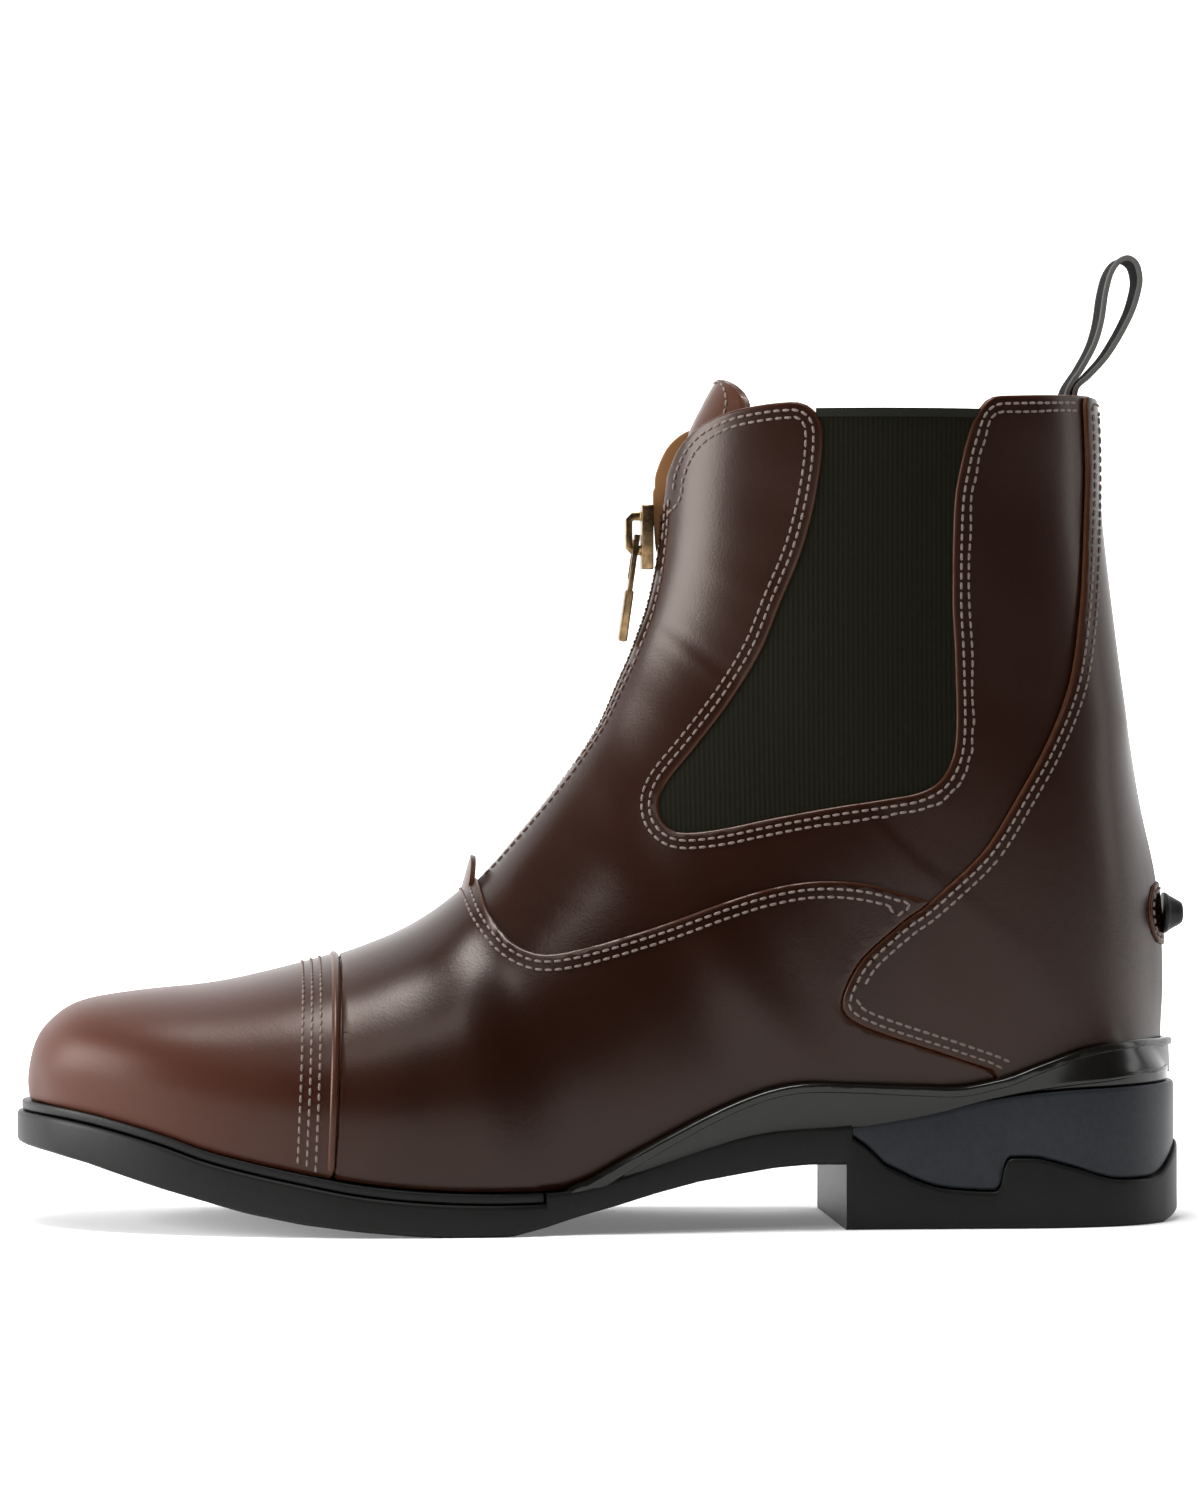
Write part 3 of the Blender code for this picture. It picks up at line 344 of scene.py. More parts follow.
# Sections of the upper. front and up place the point on the front line. end runs from 0 at the toe to 1
# at the heel along the seat line, and on to 2 up the back line. outer and inner are how far the sides
# stand out: shares of BALL_WIDTH in the foot, and in the shaft of the width that makes SHAFT_WIDTH with
# SHAFT_SHARE. They count from the end point where from_end is 1, and from the middle where it is 0.
# widest is the share of the way down where the section is widest, crown and bend are the roundness
# before and after it, where 2 is an ellipse.
SHAFT_SHARE = 0.69
UPPER_COLUMNS = ("front", "up", "end", "outer", "inner", "from_end", "widest", "crown", "bend")
UPPER_SECTIONS = (
    (0.0175, 0.313, 0.000, 0.000, 0.000, 1.0, 0.60, 2.0, 2.0),
    (0.0155, 0.360, 0.0045, 0.002, 0.002, 1.0, 0.60, 2.0, 2.0),
    (0.0200, 0.440, 0.0150, 0.006, 0.006, 1.0, 0.62, 2.1, 2.0),
    (0.0310, 0.495, 0.0330, 0.010, 0.010, 1.0, 0.64, 2.2, 2.0),
    (0.0560, 0.545, 0.0650, 0.012, 0.012, 1.0, 0.66, 2.25, 2.0),
    (0.1050, 0.572, 0.1180, 0.014, 0.014, 1.0, 0.68, 2.25, 2.0),
    (0.1730, 0.595, 0.1880, 0.016, 0.016, 1.0, 0.70, 2.2, 2.0),
    (0.2430, 0.643, 0.2600, 0.018, 0.018, 1.0, 0.72, 2.1, 2.0),
    (0.2950, 0.690, 0.3200, 0.020, 0.018, 1.0, 0.72, 2.05, 2.0),
    (0.3450, 0.758, 0.3900, 0.025, 0.020, 1.0, 0.72, 2.0, 2.0),
    (0.3890, 0.858, 0.4700, 0.045, 0.035, 1.0, 0.70, 1.95, 2.0),
    (0.4270, 0.985, 0.5600, 0.070, 0.060, 1.0, 0.68, 1.9, 2.1),
    (0.4655, 1.114, 0.6550, 0.085, 0.078, 1.0, 0.62, 1.85, 1.9),
    (0.4970, 1.240, 0.7450, 0.357, 0.352, 0.0, 0.56, 1.85, 1.7),
    (0.5130, 1.335, 0.8400, 0.353, 0.350, 0.0, 0.52, 1.85, 1.6),
    (0.5240, 1.402, 0.9200, 0.352, 0.350, 0.0, 0.50, 1.85, 1.65),
    (0.5315, 1.455, 0.9750, 0.352, 0.350, 0.0, 0.49, 1.85, 1.9),
    (0.5380, 1.505, 1.0000, 0.350, 0.348, 0.0, 0.48, 1.85, 2.3),
    (0.5425, 1.550, 1.1100, 0.350, 0.348, 0.0, 0.48, 1.85, 2.35),
    (0.5465, 1.600, 1.2200, 0.347, 0.345, 0.0, 0.47, 1.85, 2.25),
    (0.5490, 1.645, 1.3300, 0.342, 0.340, 0.0, 0.47, 1.85, 2.1),
    (0.5508, 1.690, 1.4500, 0.337, 0.335, 0.0, 0.48, 1.85, 2.0),
    (0.5520, 1.742, 1.5800, 0.335, 0.333, 0.0, 0.49, 1.85, 2.0),
    (0.5535, 1.805, 1.7000, 0.335, 0.333, 0.0, 0.50, 1.85, 2.0),
    (0.5555, 1.875, 1.8200, 0.337, 0.335, 0.0, 0.50, 1.85, 2.0),
    (0.5580, 1.948, 1.9200, 0.339, 0.337, 0.0, 0.50, 1.85, 2.0),
    (0.5610, 2.020, 2.0000, 0.340, 0.338, 0.0, 0.50, 1.85, 2.0),
)

# Panel edges in side view: place along the length and height as in level()
COLLAR_AT_GORE = 1.954
COLLAR_EDGE = (
    (0.500, 1.740), (0.549, 1.752), (0.556, 1.815), (0.565, 1.873), (0.580, 1.916), (0.603, 1.946),
    (0.631, 1.961), (0.655, 1.966), (0.672, 1.962), (0.690, COLLAR_AT_GORE), (0.807, COLLAR_AT_GORE),
    (0.816, 1.965), (0.829, 1.980), (0.848, 1.984), (0.904, 1.992), (0.940, 2.000),
)
GORE_EDGE = (
    (0.680, 2.100), (0.680, 1.939), (0.680, 1.853), (0.674, 1.741), (0.663, 1.629), (0.646, 1.518),
    (0.629, 1.405), (0.604, 1.295), (0.575, 1.194), (0.551, 1.116), (0.543, 1.071), (0.545, 1.027),
    (0.558, 1.000), (0.590, 1.005), (0.640, 1.032), (0.690, 1.056), (0.735, 1.074), (0.762, 1.088),
    (0.780, 1.116), (0.791, 1.172), (0.794, 1.250), (0.793, 1.406), (0.791, 1.518), (0.793, 1.741),
    (0.801, 1.853), (0.811, 1.952), (0.811, 2.100),
)
CAP_EDGE = ((0.268, 0.000), (0.272, 0.350), (0.276, 0.650), (0.278, 0.900))
VAMP_EDGE = (
    (0.394, 1.100), (0.394, 0.880), (0.397, 0.830), (0.402, 0.785), (0.418, 0.722), (0.442, 0.692),
    (0.474, 0.704), (0.533, 0.755), (0.592, 0.818), (0.633, 0.856), (0.675, 0.876), (0.718, 0.868),
    (0.764, 0.830),
)
COUNTER_EDGE = (
    (0.910, 2.100), (0.911, 1.950), (0.913, 1.816), (0.911, 1.703), (0.906, 1.521), (0.895, 1.341),
    (0.874, 1.205), (0.847, 1.082), (0.817, 0.954), (0.782, 0.854), (0.764, 0.808), (0.748, 0.775),
    (0.714, 0.685), (0.700, 0.617), (0.695, 0.567), (0.700, 0.537), (0.712, 0.515), (0.736, 0.487),
    (0.786, 0.439), (0.828, 0.396),
)

# Centre line of the loop, from its base: shares of LOOP_REACH back and up
LOOP_PATH = (
    (0.00, 0.00), (0.11, 0.18), (0.20, 0.35), (0.25, 0.52), (0.28, 0.72), (0.32, 0.87), (0.38, 0.96),
    (0.45, 0.985), (0.51, 0.94), (0.535, 0.84), (0.525, 0.75), (0.48, 0.60), (0.39, 0.42), (0.28, 0.25),
    (0.15, 0.11), (0.045, 0.02),
)

# Wrinkles: start and end in side view, depth and half width in metres. The leather rises beside each one,
# by a share of its depth
CREASE_COLUMNS = ("start_along", "start_up", "end_along", "end_up", "depth", "half_width")
CREASES = (
    (0.432, 0.855, 0.468, 0.800, 0.00012, 0.0026),
    (0.440, 0.905, 0.480, 0.850, 0.00010, 0.0024),
    (0.425, 0.800, 0.450, 0.760, 0.00010, 0.0022),
    (0.330, 0.690, 0.385, 0.560, 0.00010, 0.0055),
)
CREASE_RISE = 0.45

# Colours of the leather
BROWN_DARK = (0.0095, 0.0022, 0.0008)
BROWN_LIGHT = (0.0155, 0.0042, 0.0016)
BROWN_TOE = (0.060, 0.0155, 0.0080)
BROWN_EDGE = (0.060, 0.020, 0.009)


def table(columns, rows, name):
    """One named column of a table, as an array."""
    place = columns.index(name)
    return np.array([row[place] for row in rows], float)


def curve(places, values, at):
    """Smooth curve through the values, with no overshoot."""
    at = np.clip(np.asarray(at, float), places[0], places[-1])
    steps = np.diff(places)
    slopes = np.diff(values) / steps
    tangents = np.zeros(len(values))
    tangents[0] = slopes[0]
    tangents[-1] = slopes[-1]
    same_way = slopes[:-1] * slopes[1:] > 0
    means = (slopes[:-1] * steps[1:] + slopes[1:] * steps[:-1]) / (steps[:-1] + steps[1:])
    tightest = 3 * np.minimum(abs(slopes[:-1]), abs(slopes[1:]))
    tangents[1:-1] = np.where(same_way, np.sign(means) * np.minimum(abs(means), tightest), 0)
    left = np.clip(np.searchsorted(places, at, side="right") - 1, 0, len(steps) - 1)
    step = steps[left]
    share = (at - places[left]) / step
    rest = 1 - share
    return (
        (1 + 2 * share) * rest**2 * values[left]
        + share * rest**2 * step * tangents[left]
        + share**2 * (3 - 2 * share) * values[left + 1]
        + share**2 * (share - 1) * step * tangents[left + 1]
    )


def along_x(along):
    """Place along the length, 0 at the toe and 1 at the heel."""
    return (np.asarray(along, float) - 0.5) * LENGTH


def level(up):
    """Height: 0 to 1 reaches the instep, 1 to 2 the top of the shaft."""
    up = np.asarray(up, float)
    return np.where(up < 1, up * INSTEP_HEIGHT, INSTEP_HEIGHT + (up - 1) * (SHAFT_HEIGHT - INSTEP_HEIGHT))


def side_points(edge):
    """A panel edge in side view, in metres."""
    edge = np.array(edge)
    return np.stack([along_x(edge[:, 0]), level(edge[:, 1])], 1)


def run_of(points):
    """Length along a line, up to each of its points."""
    return np.concatenate([[0], np.cumsum(np.linalg.norm(np.diff(points, axis=0), axis=1))])


def resampled(points, run, at):
    """Points at new places along a line."""
    return np.stack([np.interp(at, run, values) for values in points.T], 1)


def unit_way(path):
    """Direction of a line at each of its points."""
    way = np.gradient(path, axis=0)
    return way / np.linalg.norm(way, axis=1)[:, None]


def round_end(along):
    """Runs evenly round both ends of the sole, where the outline turns across."""
    return np.arccos(1 - 2 * np.clip(along, 0, 1)) / math.pi


def outline(along, inset):
    """Outer and inner side of the sole in plan, moved inwards by inset."""
    along = np.atleast_1d(along)
    fine = (1 - np.cos(np.linspace(0, math.pi, 721))) / 2
    at = round_end(fine)
    rows_at = round_end(table(PLAN_COLUMNS, PLAN_ROWS, "along"))
    half = BALL_WIDTH * curve(rows_at, table(PLAN_COLUMNS, PLAN_ROWS, "ball"), at)
    half += HEEL_WIDTH * curve(rows_at, table(PLAN_COLUMNS, PLAN_ROWS, "heel"), at)
    middle = BALL_WIDTH * curve(rows_at, table(PLAN_COLUMNS, PLAN_ROWS, "shift"), at)
    sides = []
    for sign in (-1, 1):
        points = np.stack([along_x(fine), middle + sign * half], 1)
        run = np.gradient(points, axis=0)
        run[0] = (0, sign)
        run[-1] = (0, -sign)
        run /= np.linalg.norm(run, axis=1)[:, None]
        inwards = np.stack([run[:, 1], -run[:, 0]], 1) * sign
        points = points + inset * inwards
        sides.append(resampled(points, fine, along))
    return sides


def seat(x):
    """Height of the line where the upper meets the sole."""
    rows = table(SOLE_COLUMNS, SOLE_ROWS, "along"), table(SOLE_COLUMNS, SOLE_ROWS, "seat")
    return HEEL_STACK * curve(*rows, np.asarray(x) / LENGTH + 0.5)


def tread(along):
    """Height of the sole's underside."""
    rows = table(SOLE_COLUMNS, SOLE_ROWS, "along"), table(SOLE_COLUMNS, SOLE_ROWS, "tread")
    return HEEL_STACK * np.interp(along, *rows)


def wave(along):
    """Height of the heel insert's lower edge."""
    rows = table(WAVE_COLUMNS, WAVE_ROWS, "along"), table(WAVE_COLUMNS, WAVE_ROWS, "height")
    return HEEL_STACK * curve(*rows, along)


def back_x(z):
    """Place of the back line at a height."""
    heights = level(table(BACK_COLUMNS, BACK_ROWS, "up"))
    return along_x(curve(heights, table(BACK_COLUMNS, BACK_ROWS, "along"), z))


def end_points(end):
    """Outer and inner end of a section, on the seat line or, past the heel, on the back line."""
    outer, inner = outline(min(end, 1), SEAT_INSET)
    if end <= 1:
        return [np.array([x, y, seat(x)]) for x, y in (outer[0], inner[0])]
    low = seat(outer[0, 0])
    z = low + (end - 1) * (level(BACK_TOP) - low)
    blend = np.clip((end - 1) / 0.1, 0, 1)
    x = (1 - blend) * outer[0, 0] + blend * back_x(z)
    return [np.array([x, outer[0, 1], z])] * 2


def section(row):
    """Points of one section at even steps, from the outer end over the front line to the inner end."""
    front_x = along_x(row["front"])
    front_z = level(row["up"])
    ends = end_points(row["end"])
    middle = (ends[0][1] + ends[1][1]) / 2
    shaft_share = np.clip((row["end"] - 0.7) / 0.5, 0, 1)
    width = BALL_WIDTH + shaft_share * (SHAFT_WIDTH / SHAFT_SHARE - BALL_WIDTH)
    angle = np.linspace(0, math.pi / 2, 240)
    halves = []
    for end, stand, sign in ((ends[0], row["outer"], -1), (ends[1], row["inner"], 1)):
        end_half = abs(end[1] - middle)
        widest = row["from_end"] * end_half + stand * width
        down = row["widest"] * (1 - np.cos(angle) ** (2 / row["crown"]))
        out = widest * np.sin(angle) ** (2 / row["crown"])
        down_rest = row["widest"] + (1 - row["widest"]) * np.sin(angle) ** (2 / row["bend"])
        out_rest = end_half + (widest - end_half) * np.cos(angle) ** (2 / row["bend"])
        down = np.concatenate([down, down_rest[1:]])
        out = np.concatenate([out, out_rest[1:]])
        x = front_x + down * (end[0] - front_x)
        z = front_z + down * (end[2] - front_z)
        points = np.stack([x, middle + sign * out, z], 1)
        run = run_of(points)
        halves.append(resampled(points, run, np.linspace(0, run[-1], UPPER_HALF_COLUMNS + 1)))
    return np.concatenate([halves[0][::-1], halves[1][1:]])


def section_steps():
    """Places of the grid's rows, counted in sections of the table."""
    return np.concatenate([[0]] + [np.linspace(*steps[:2], steps[2] + 1)[1:] for steps in UPPER_STEPS])


def upper_grid():
    """Points of the upper's outer surface."""
    places = np.arange(float(len(UPPER_SECTIONS)))
    at = section_steps()
    columns = [curve(places, table(UPPER_COLUMNS, UPPER_SECTIONS, name), at) for name in UPPER_COLUMNS]
    rows = [section(dict(zip(UPPER_COLUMNS, values))) for values in zip(*columns)]
    grid = np.array(rows)
    grid[0] = grid[0, UPPER_HALF_COLUMNS]
    return grid


def directions(grid):
    """Outward direction at each point of a grid whose doubled points count as one."""
    across = np.cross(grid[1:, :-1] - grid[:-1, 1:], grid[1:, 1:] - grid[:-1, :-1])
    total = np.zeros_like(grid)
    for rows in (slice(0, -1), slice(1, None)):
        for columns in (slice(0, -1), slice(1, None)):
            total[rows, columns] += across
    keys = np.round(grid.reshape(-1, 3), 7)
    _, owner = np.unique(keys, axis=0, return_inverse=True)
    owner = owner.reshape(-1)
    sums = np.zeros((owner.max() + 1, 3))
    np.add.at(sums, owner, total.reshape(-1, 3))
    found = sums[owner].reshape(grid.shape)
    found /= np.linalg.norm(found, axis=2)[:, :, None]
    return found


def smooth(points, steps=12):
    """A curve through side view points, rounded between them."""
    points = np.array(points, float)
    before = np.vstack([2 * points[0] - points[1], points[:-1]])
    after = np.vstack([points[1:], 2 * points[-1] - points[-2]])
    tangents = (after - before) / 2
    lengths = np.linalg.norm(np.diff(points, axis=0), axis=1)
    places = []
    for index in range(len(points) - 1):
        for share in np.arange(steps) / steps:
            rest = 1 - share
            limit = lengths[index]
            start = tangents[index] * min(1, limit / max(np.linalg.norm(tangents[index]), 1e-9))
            end = tangents[index + 1] * min(1, limit / max(np.linalg.norm(tangents[index + 1]), 1e-9))
            places.append(
                (1 + 2 * share) * rest**2 * points[index] + share * rest**2 * start
                + share**2 * (3 - 2 * share) * points[index + 1] + share**2 * (share - 1) * end
            )
    places.append(points[-1])
    return np.array(places)


def distance_to(line, at):
    """Distance in side view from each point to a line of points."""
    starts = line[:-1]
    runs = np.diff(line, axis=0)
    squares = np.maximum((runs**2).sum(1), 1e-18)
    best = np.full(len(at), np.inf)
    for start, run, square in zip(starts, runs, squares):
        share = np.clip(((at - start) @ run) / square, 0, 1)
        gap = np.linalg.norm(at - start - share[:, None] * run, axis=1)
        best = np.minimum(best, gap)
    return best


def inside(loop, at):
    """Whether each point lies inside a closed side view loop."""
    result = np.zeros(len(at), bool)
    for (x0, z0), (x1, z1) in zip(loop, np.roll(loop, -1, axis=0)):
        if z0 == z1:
            continue
        crosses = (z0 > at[:, 1]) != (z1 > at[:, 1])
        result ^= crosses & (at[:, 0] < x0 + (at[:, 1] - z0) * (x1 - x0) / (z1 - z0))
    return result


def region(loop):
    """Field that is positive inside a closed side view loop and grows away from its edge."""
    loop = np.array(loop)
    closed = np.vstack([loop, loop[:1]])

    def field(points):
        at = points[:, [0, 2]]
        gap = distance_to(closed, at)
        return np.where(inside(loop, at), gap, -gap)

    return field


def outside(field):
    """The field turned inside out."""
    return lambda points: -field(points)


class Patch:
    """A piece of the boot's surface: points, directions away from the boot, and faces."""

    def __init__(self, points, out, faces):
        self.points = points
        self.out = out
        self.faces = faces

    def cut(self, field, at=0.0, keep_rest=False):
        """Cuts along a line where the field has a value, and keeps what lies above it or both sides."""
        values = field(self.points) - at
        values[abs(values) < 1e-7] = 1e-7
        inside_face, fresh, made = [], [], {}
        count = len(self.points)

        def crossing(first, second):
            key = (min(first, second), max(first, second))
            if key not in made:
                share = values[first] / (values[first] - values[second])
                fresh.append((
                    self.points[first] + share * (self.points[second] - self.points[first]),
                    self.out[first] + share * (self.out[second] - self.out[first]),
                ))
                made[key] = count + len(fresh) - 1
            return made[key]

        signs = values > 0
        for face in self.faces:
            state = signs[face]
            if state.all():
                inside_face.append(face)
                continue
            if not state.any():
                if keep_rest:
                    inside_face.append(face)
                continue
            above, below = [], []
            for index, corner in enumerate(face):
                ahead = face[(index + 1) % len(face)]
                (above if signs[corner] else below).append(corner)
                if signs[corner] != signs[ahead]:
                    point = crossing(corner, ahead)
                    above.append(point)
                    below.append(point)
            inside_face.append(np.array(above))
            if keep_rest:
                inside_face.append(np.array(below))
        points, out = self.points, self.out
        if fresh:
            points = np.vstack([points, [item[0] for item in fresh]])
            out = np.vstack([out, [item[1] for item in fresh]])
            out /= np.linalg.norm(out, axis=1)[:, None]
        used = np.unique(np.concatenate(inside_face))
        place = np.full(len(points), -1)
        place[used] = np.arange(len(used))
        return Patch(points[used], out[used], [place[face] for face in inside_face])


def grid_faces(rows, columns):
    """Four-sided faces between the points of a grid."""
    corners = (0, columns, columns + 1, 1)
    starts = [row * columns + column for row in range(rows - 1) for column in range(columns - 1)]
    return [tuple(start + corner for corner in corners) for start in starts]


def surface():
    """The whole upper: its grid, the directions away from it, and a patch with its faces."""
    grid = relaxed(upper_grid())
    grid = wrinkled(grid, directions(grid))
    out = directions(grid)
    faces = [np.array(face) for face in grid_faces(*grid.shape[:2])]
    return grid, out, Patch(grid.reshape(-1, 3), out.reshape(-1, 3), faces)


def around(grid):
    """Mean of the four neighbours of each inner point of a grid."""
    return (grid[2:, 1:-1] + grid[:-2, 1:-1] + grid[1:-1, 2:] + grid[1:-1, :-2]) / 4


def relaxed(grid):
    """Evens out the surface, most of all at the rear, where the sections turn upwards round the heel."""
    start, full = along_x(RELAX_FROM), along_x(RELAX_FULL)
    top, base = level(RELAX_TOP), level(RELAX_BASE)
    share = np.clip((grid[:, :, 0] - start) / (full - start), 0, 1)
    share = share * np.clip((top - grid[:, :, 2]) / (top - base), 0, 1)
    share = RELAX_STEP * share[1:-1, 1:-1, None]
    grid = grid.copy()
    for step in EVEN_STEPS * EVEN_ROUNDS:
        grid[1:-1, 1:-1] += step * (around(grid) - grid[1:-1, 1:-1])
    for _ in range(RELAX_ROUNDS):
        grid[1:-1, 1:-1] += share * (around(grid) - grid[1:-1, 1:-1])
    return grid


def wrinkled(grid, out):
    """Presses the wrinkles into the surface."""
    points = grid.reshape(-1, 3)
    depth = np.zeros(len(points))
    for row in CREASES:
        crease = dict(zip(CREASE_COLUMNS, row))
        start = crease["start_along"], crease["start_up"]
        end = crease["end_along"], crease["end_up"]
        gap = distance_to(side_points((start, end)), points[:, [0, 2]]) / crease["half_width"]
        bend = np.exp(-(gap**2)) - CREASE_RISE * np.exp(-((gap / 2) ** 2))
        depth += crease["depth"] * bend
    return grid - depth.reshape(grid.shape[:2])[:, :, None] * out


def boundary(faces):
    """Edges that only one face has, in that face's order."""
    seen = {}
    for face in faces:
        for first, second in zip(face, np.roll(face, -1)):
            key = (min(first, second), max(first, second))
            seen[key] = None if key in seen else (first, second)
    return [edge for edge in seen.values() if edge]


def layer(name, patch, low, high, materials, edge_field=None, rounding=0.0):
    """A solid on the patch between two heights, whose outer edge is rounded where the field runs out."""
    count = len(patch.points)
    edge = np.full(count, 1.0)
    if edge_field is not None:
        edge = np.clip(edge_field(patch.points), 0, 1)
    high = np.broadcast_to(np.asarray(high, float), count).copy()
    if rounding:
        share = np.clip(1 - edge / rounding, 0, 1)
        high -= rounding * (1 - np.sqrt(1 - share**2 * ROUND_STOP))
    top = patch.points + high[:, None] * patch.out
    bottom = patch.points + low * patch.out
    faces = [tuple(int(index) for index in face) for face in patch.faces]
    kinds = [0] * len(faces)
    faces += [tuple(int(index) + count for index in face[::-1]) for face in patch.faces]
    kinds += [1] * len(patch.faces)
    for first, second in boundary(patch.faces):
        faces.append((int(second), int(first), int(first) + count, int(second) + count))
        kinds.append(2)
    item = mesh_object(name, np.vstack([top, bottom]), faces, materials, kinds)
    shade = item.data.attributes.new("edge", "FLOAT", "POINT")
    shade.data.foreach_set("value", np.concatenate([edge, edge]).astype(np.float32))
    return item


def mesh_object(name, points, faces, materials, kinds=None, sharp=40):
    mesh = bpy.data.meshes.new(name)
    mesh.from_pydata([tuple(point) for point in points], [], faces)
    for material in materials if isinstance(materials, (list, tuple)) else [materials]:
        mesh.materials.append(material)
    if kinds:
        mesh.polygons.foreach_set("material_index", kinds)
    mesh.shade_smooth()
    mesh.set_sharp_from_angle(angle=math.radians(sharp))
    item = bpy.data.objects.new(name, mesh)
    bpy.context.scene.collection.objects.link(item)
    return item


def isolines(grid, out, field, value, keep=None):
    """Lines on the surface where the field has a value, as rows of point and direction."""
    rows, columns = grid.shape[:2]
    points = grid.reshape(-1, 3)
    normals = out.reshape(-1, 3)
    values = field(points) - value
    if keep is not None:
        values = np.where(keep(points), values, np.nan)
    values = values.reshape(rows, columns)
    around_face = [values[:-1, :-1], values[1:, :-1], values[:-1, 1:], values[1:, 1:]]
    low, high = np.minimum.reduce(around_face), np.maximum.reduce(around_face)
    flat = values.reshape(-1)
    links, places = {}, {}
    for row, column in np.argwhere((low < 0) & (high > 0)):
        at = row * columns + column
        corners = (at, at + columns, at + columns + 1, at + 1)
        found = []
        for first, second in zip(corners, corners[1:] + corners[:1]):
            if (flat[first] > 0) == (flat[second] > 0):
                continue
            key = (min(first, second), max(first, second))
            if key not in places:
                share = flat[key[0]] / (flat[key[0]] - flat[key[1]])
                normal = normals[key[0]] + share * (normals[key[1]] - normals[key[0]])
                places[key] = np.concatenate([
                    points[key[0]] + share * (points[key[1]] - points[key[0]]),
                    normal / np.linalg.norm(normal),
                ])
            found.append(key)
        if len(found) == 2:
            links.setdefault(found[0], []).append(found[1])
            links.setdefault(found[1], []).append(found[0])
    lines = []
    left = set(links)
    while left:
        start = next((key for key in left if len(links[key]) == 1), next(iter(left)))
        chain = [start]
        left.discard(start)
        while True:
            ahead = [key for key in links[chain[-1]] if key in left]
            if not ahead:
                break
            chain.append(ahead[0])
            left.discard(ahead[0])
        if len(chain) > 3:
            lines.append(np.array([places[key] for key in chain]))
    return lines


def stepped(line, pitch):
    """Points and directions at even steps along a line."""
    run = run_of(line[:, :3])
    return resampled(line, run, np.arange(pitch / 2, run[-1], pitch))


def frames(row):
    """Place, outward, forward and crosswise directions at each point of a line."""
    for place, out, way in zip(row[:, :3], row[:, 3:], np.gradient(row[:, :3], axis=0)):
        way = way / np.linalg.norm(way)
        out = out - way * out.dot(way)
        out /= np.linalg.norm(out)
        yield place, out, way, np.cross(way, out)


def ring(out, across, sides):
    """Directions all round a line."""
    angles = [2 * math.pi * side / sides for side in range(sides)]
    return [math.cos(angle) * across + math.sin(angle) * out for angle in angles]


def band(low, sides):
    """Faces between one ring of points and the next."""
    pairs = [(side, (side + 1) % sides) for side in range(sides)]
    return [(low + side, low + ahead, low + sides + ahead, low + sides + side) for side, ahead in pairs]


def stitches(name, lines, lift, material, pitch=STITCH_PITCH, length=STITCH_LENGTH):
    """Rows of thread stitches that lie on the leather."""
    sides, radius = STITCH_SIDES, STITCH_RADIUS
    points, faces = [], []
    for line in lines:
        row = stepped(line, pitch)
        if len(row) < 3:
            continue
        for place, out, way, across in frames(row):
            middle = place + (lift + radius * STITCH_RISE) * out
            base = len(points)
            points.append(middle - way * length / 2 - out * radius)
            for share, size in STITCH_SHAPE:
                for direction in ring(out, across, sides):
                    points.append(middle + way * length * share + direction * radius * size)
            points.append(middle + way * length / 2 - out * radius)
            high = base + 1 + 2 * sides
            for side in range(sides):
                ahead = (side + 1) % sides
                faces.append((base, base + 1 + ahead, base + 1 + side))
                faces.append((high + side, high + ahead, high + sides))
            faces += band(base + 1, sides) + band(base + 1 + sides, sides)
    item = mesh_object(name, points, faces, material, sharp=180)
    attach(item, "boot")
    return item


def tube(name, lines, lift, radius, material, sides=8):
    """A thin bead along each line."""
    points, faces = [], []
    for line in lines:
        row = stepped(line, radius * 1.2)
        base = len(points)
        for place, out, way, across in frames(row):
            points += [place + lift * out + radius * direction for direction in ring(out, across, sides)]
        for step in range(len(row) - 1):
            faces += band(base + step * sides, sides)
        faces.append(tuple(base + side for side in range(sides))[::-1])
        faces.append(tuple(base + (len(row) - 1) * sides + side for side in range(sides)))
    item = mesh_object(name, points, faces, material, sharp=60)
    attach(item, "boot")
    return item


def blank(name):
    """A new material with its node tree, its shader and a helper that adds linked nodes."""
    material = bpy.data.materials.new(name)
    material.use_nodes = True
    tree = material.node_tree
    shader = tree.nodes["Principled BSDF"]

    def node(kind, inputs=None, **settings):
        made = tree.nodes.new("ShaderNode" + kind)
        for key, value in settings.items():
            setattr(made, key, value)
        for key, value in (inputs or {}).items():
            if isinstance(value, bpy.types.NodeSocket):
                tree.links.new(value, made.inputs[key])
            else:
                made.inputs[key].default_value = value
        return made

    return material, tree, shader, node


def ramp(node, source, stops):
    """A colour ramp over a value, from (place, colour) stops."""
    made = node("ValToRGB", {"Fac": source})
    elements = made.color_ramp.elements
    while len(elements) < len(stops):
        elements.new(0.5)
    for element, (place, colour) in zip(elements, stops):
        element.position = place
        element.color = (*colour, 1)
    return made.outputs["Color"]


def ranged(node, value, start, end, low, high):
    """A value carried from one range to another and held at its ends."""
    return node("MapRange", {
        "Value": value, "From Min": start, "From Max": end, "To Min": low, "To Max": high,
    }).outputs["Result"]


def settle(shader, values):
    """Sets inputs of a shader by name."""
    for name, value in values.items():
        shader.inputs[name].default_value = value


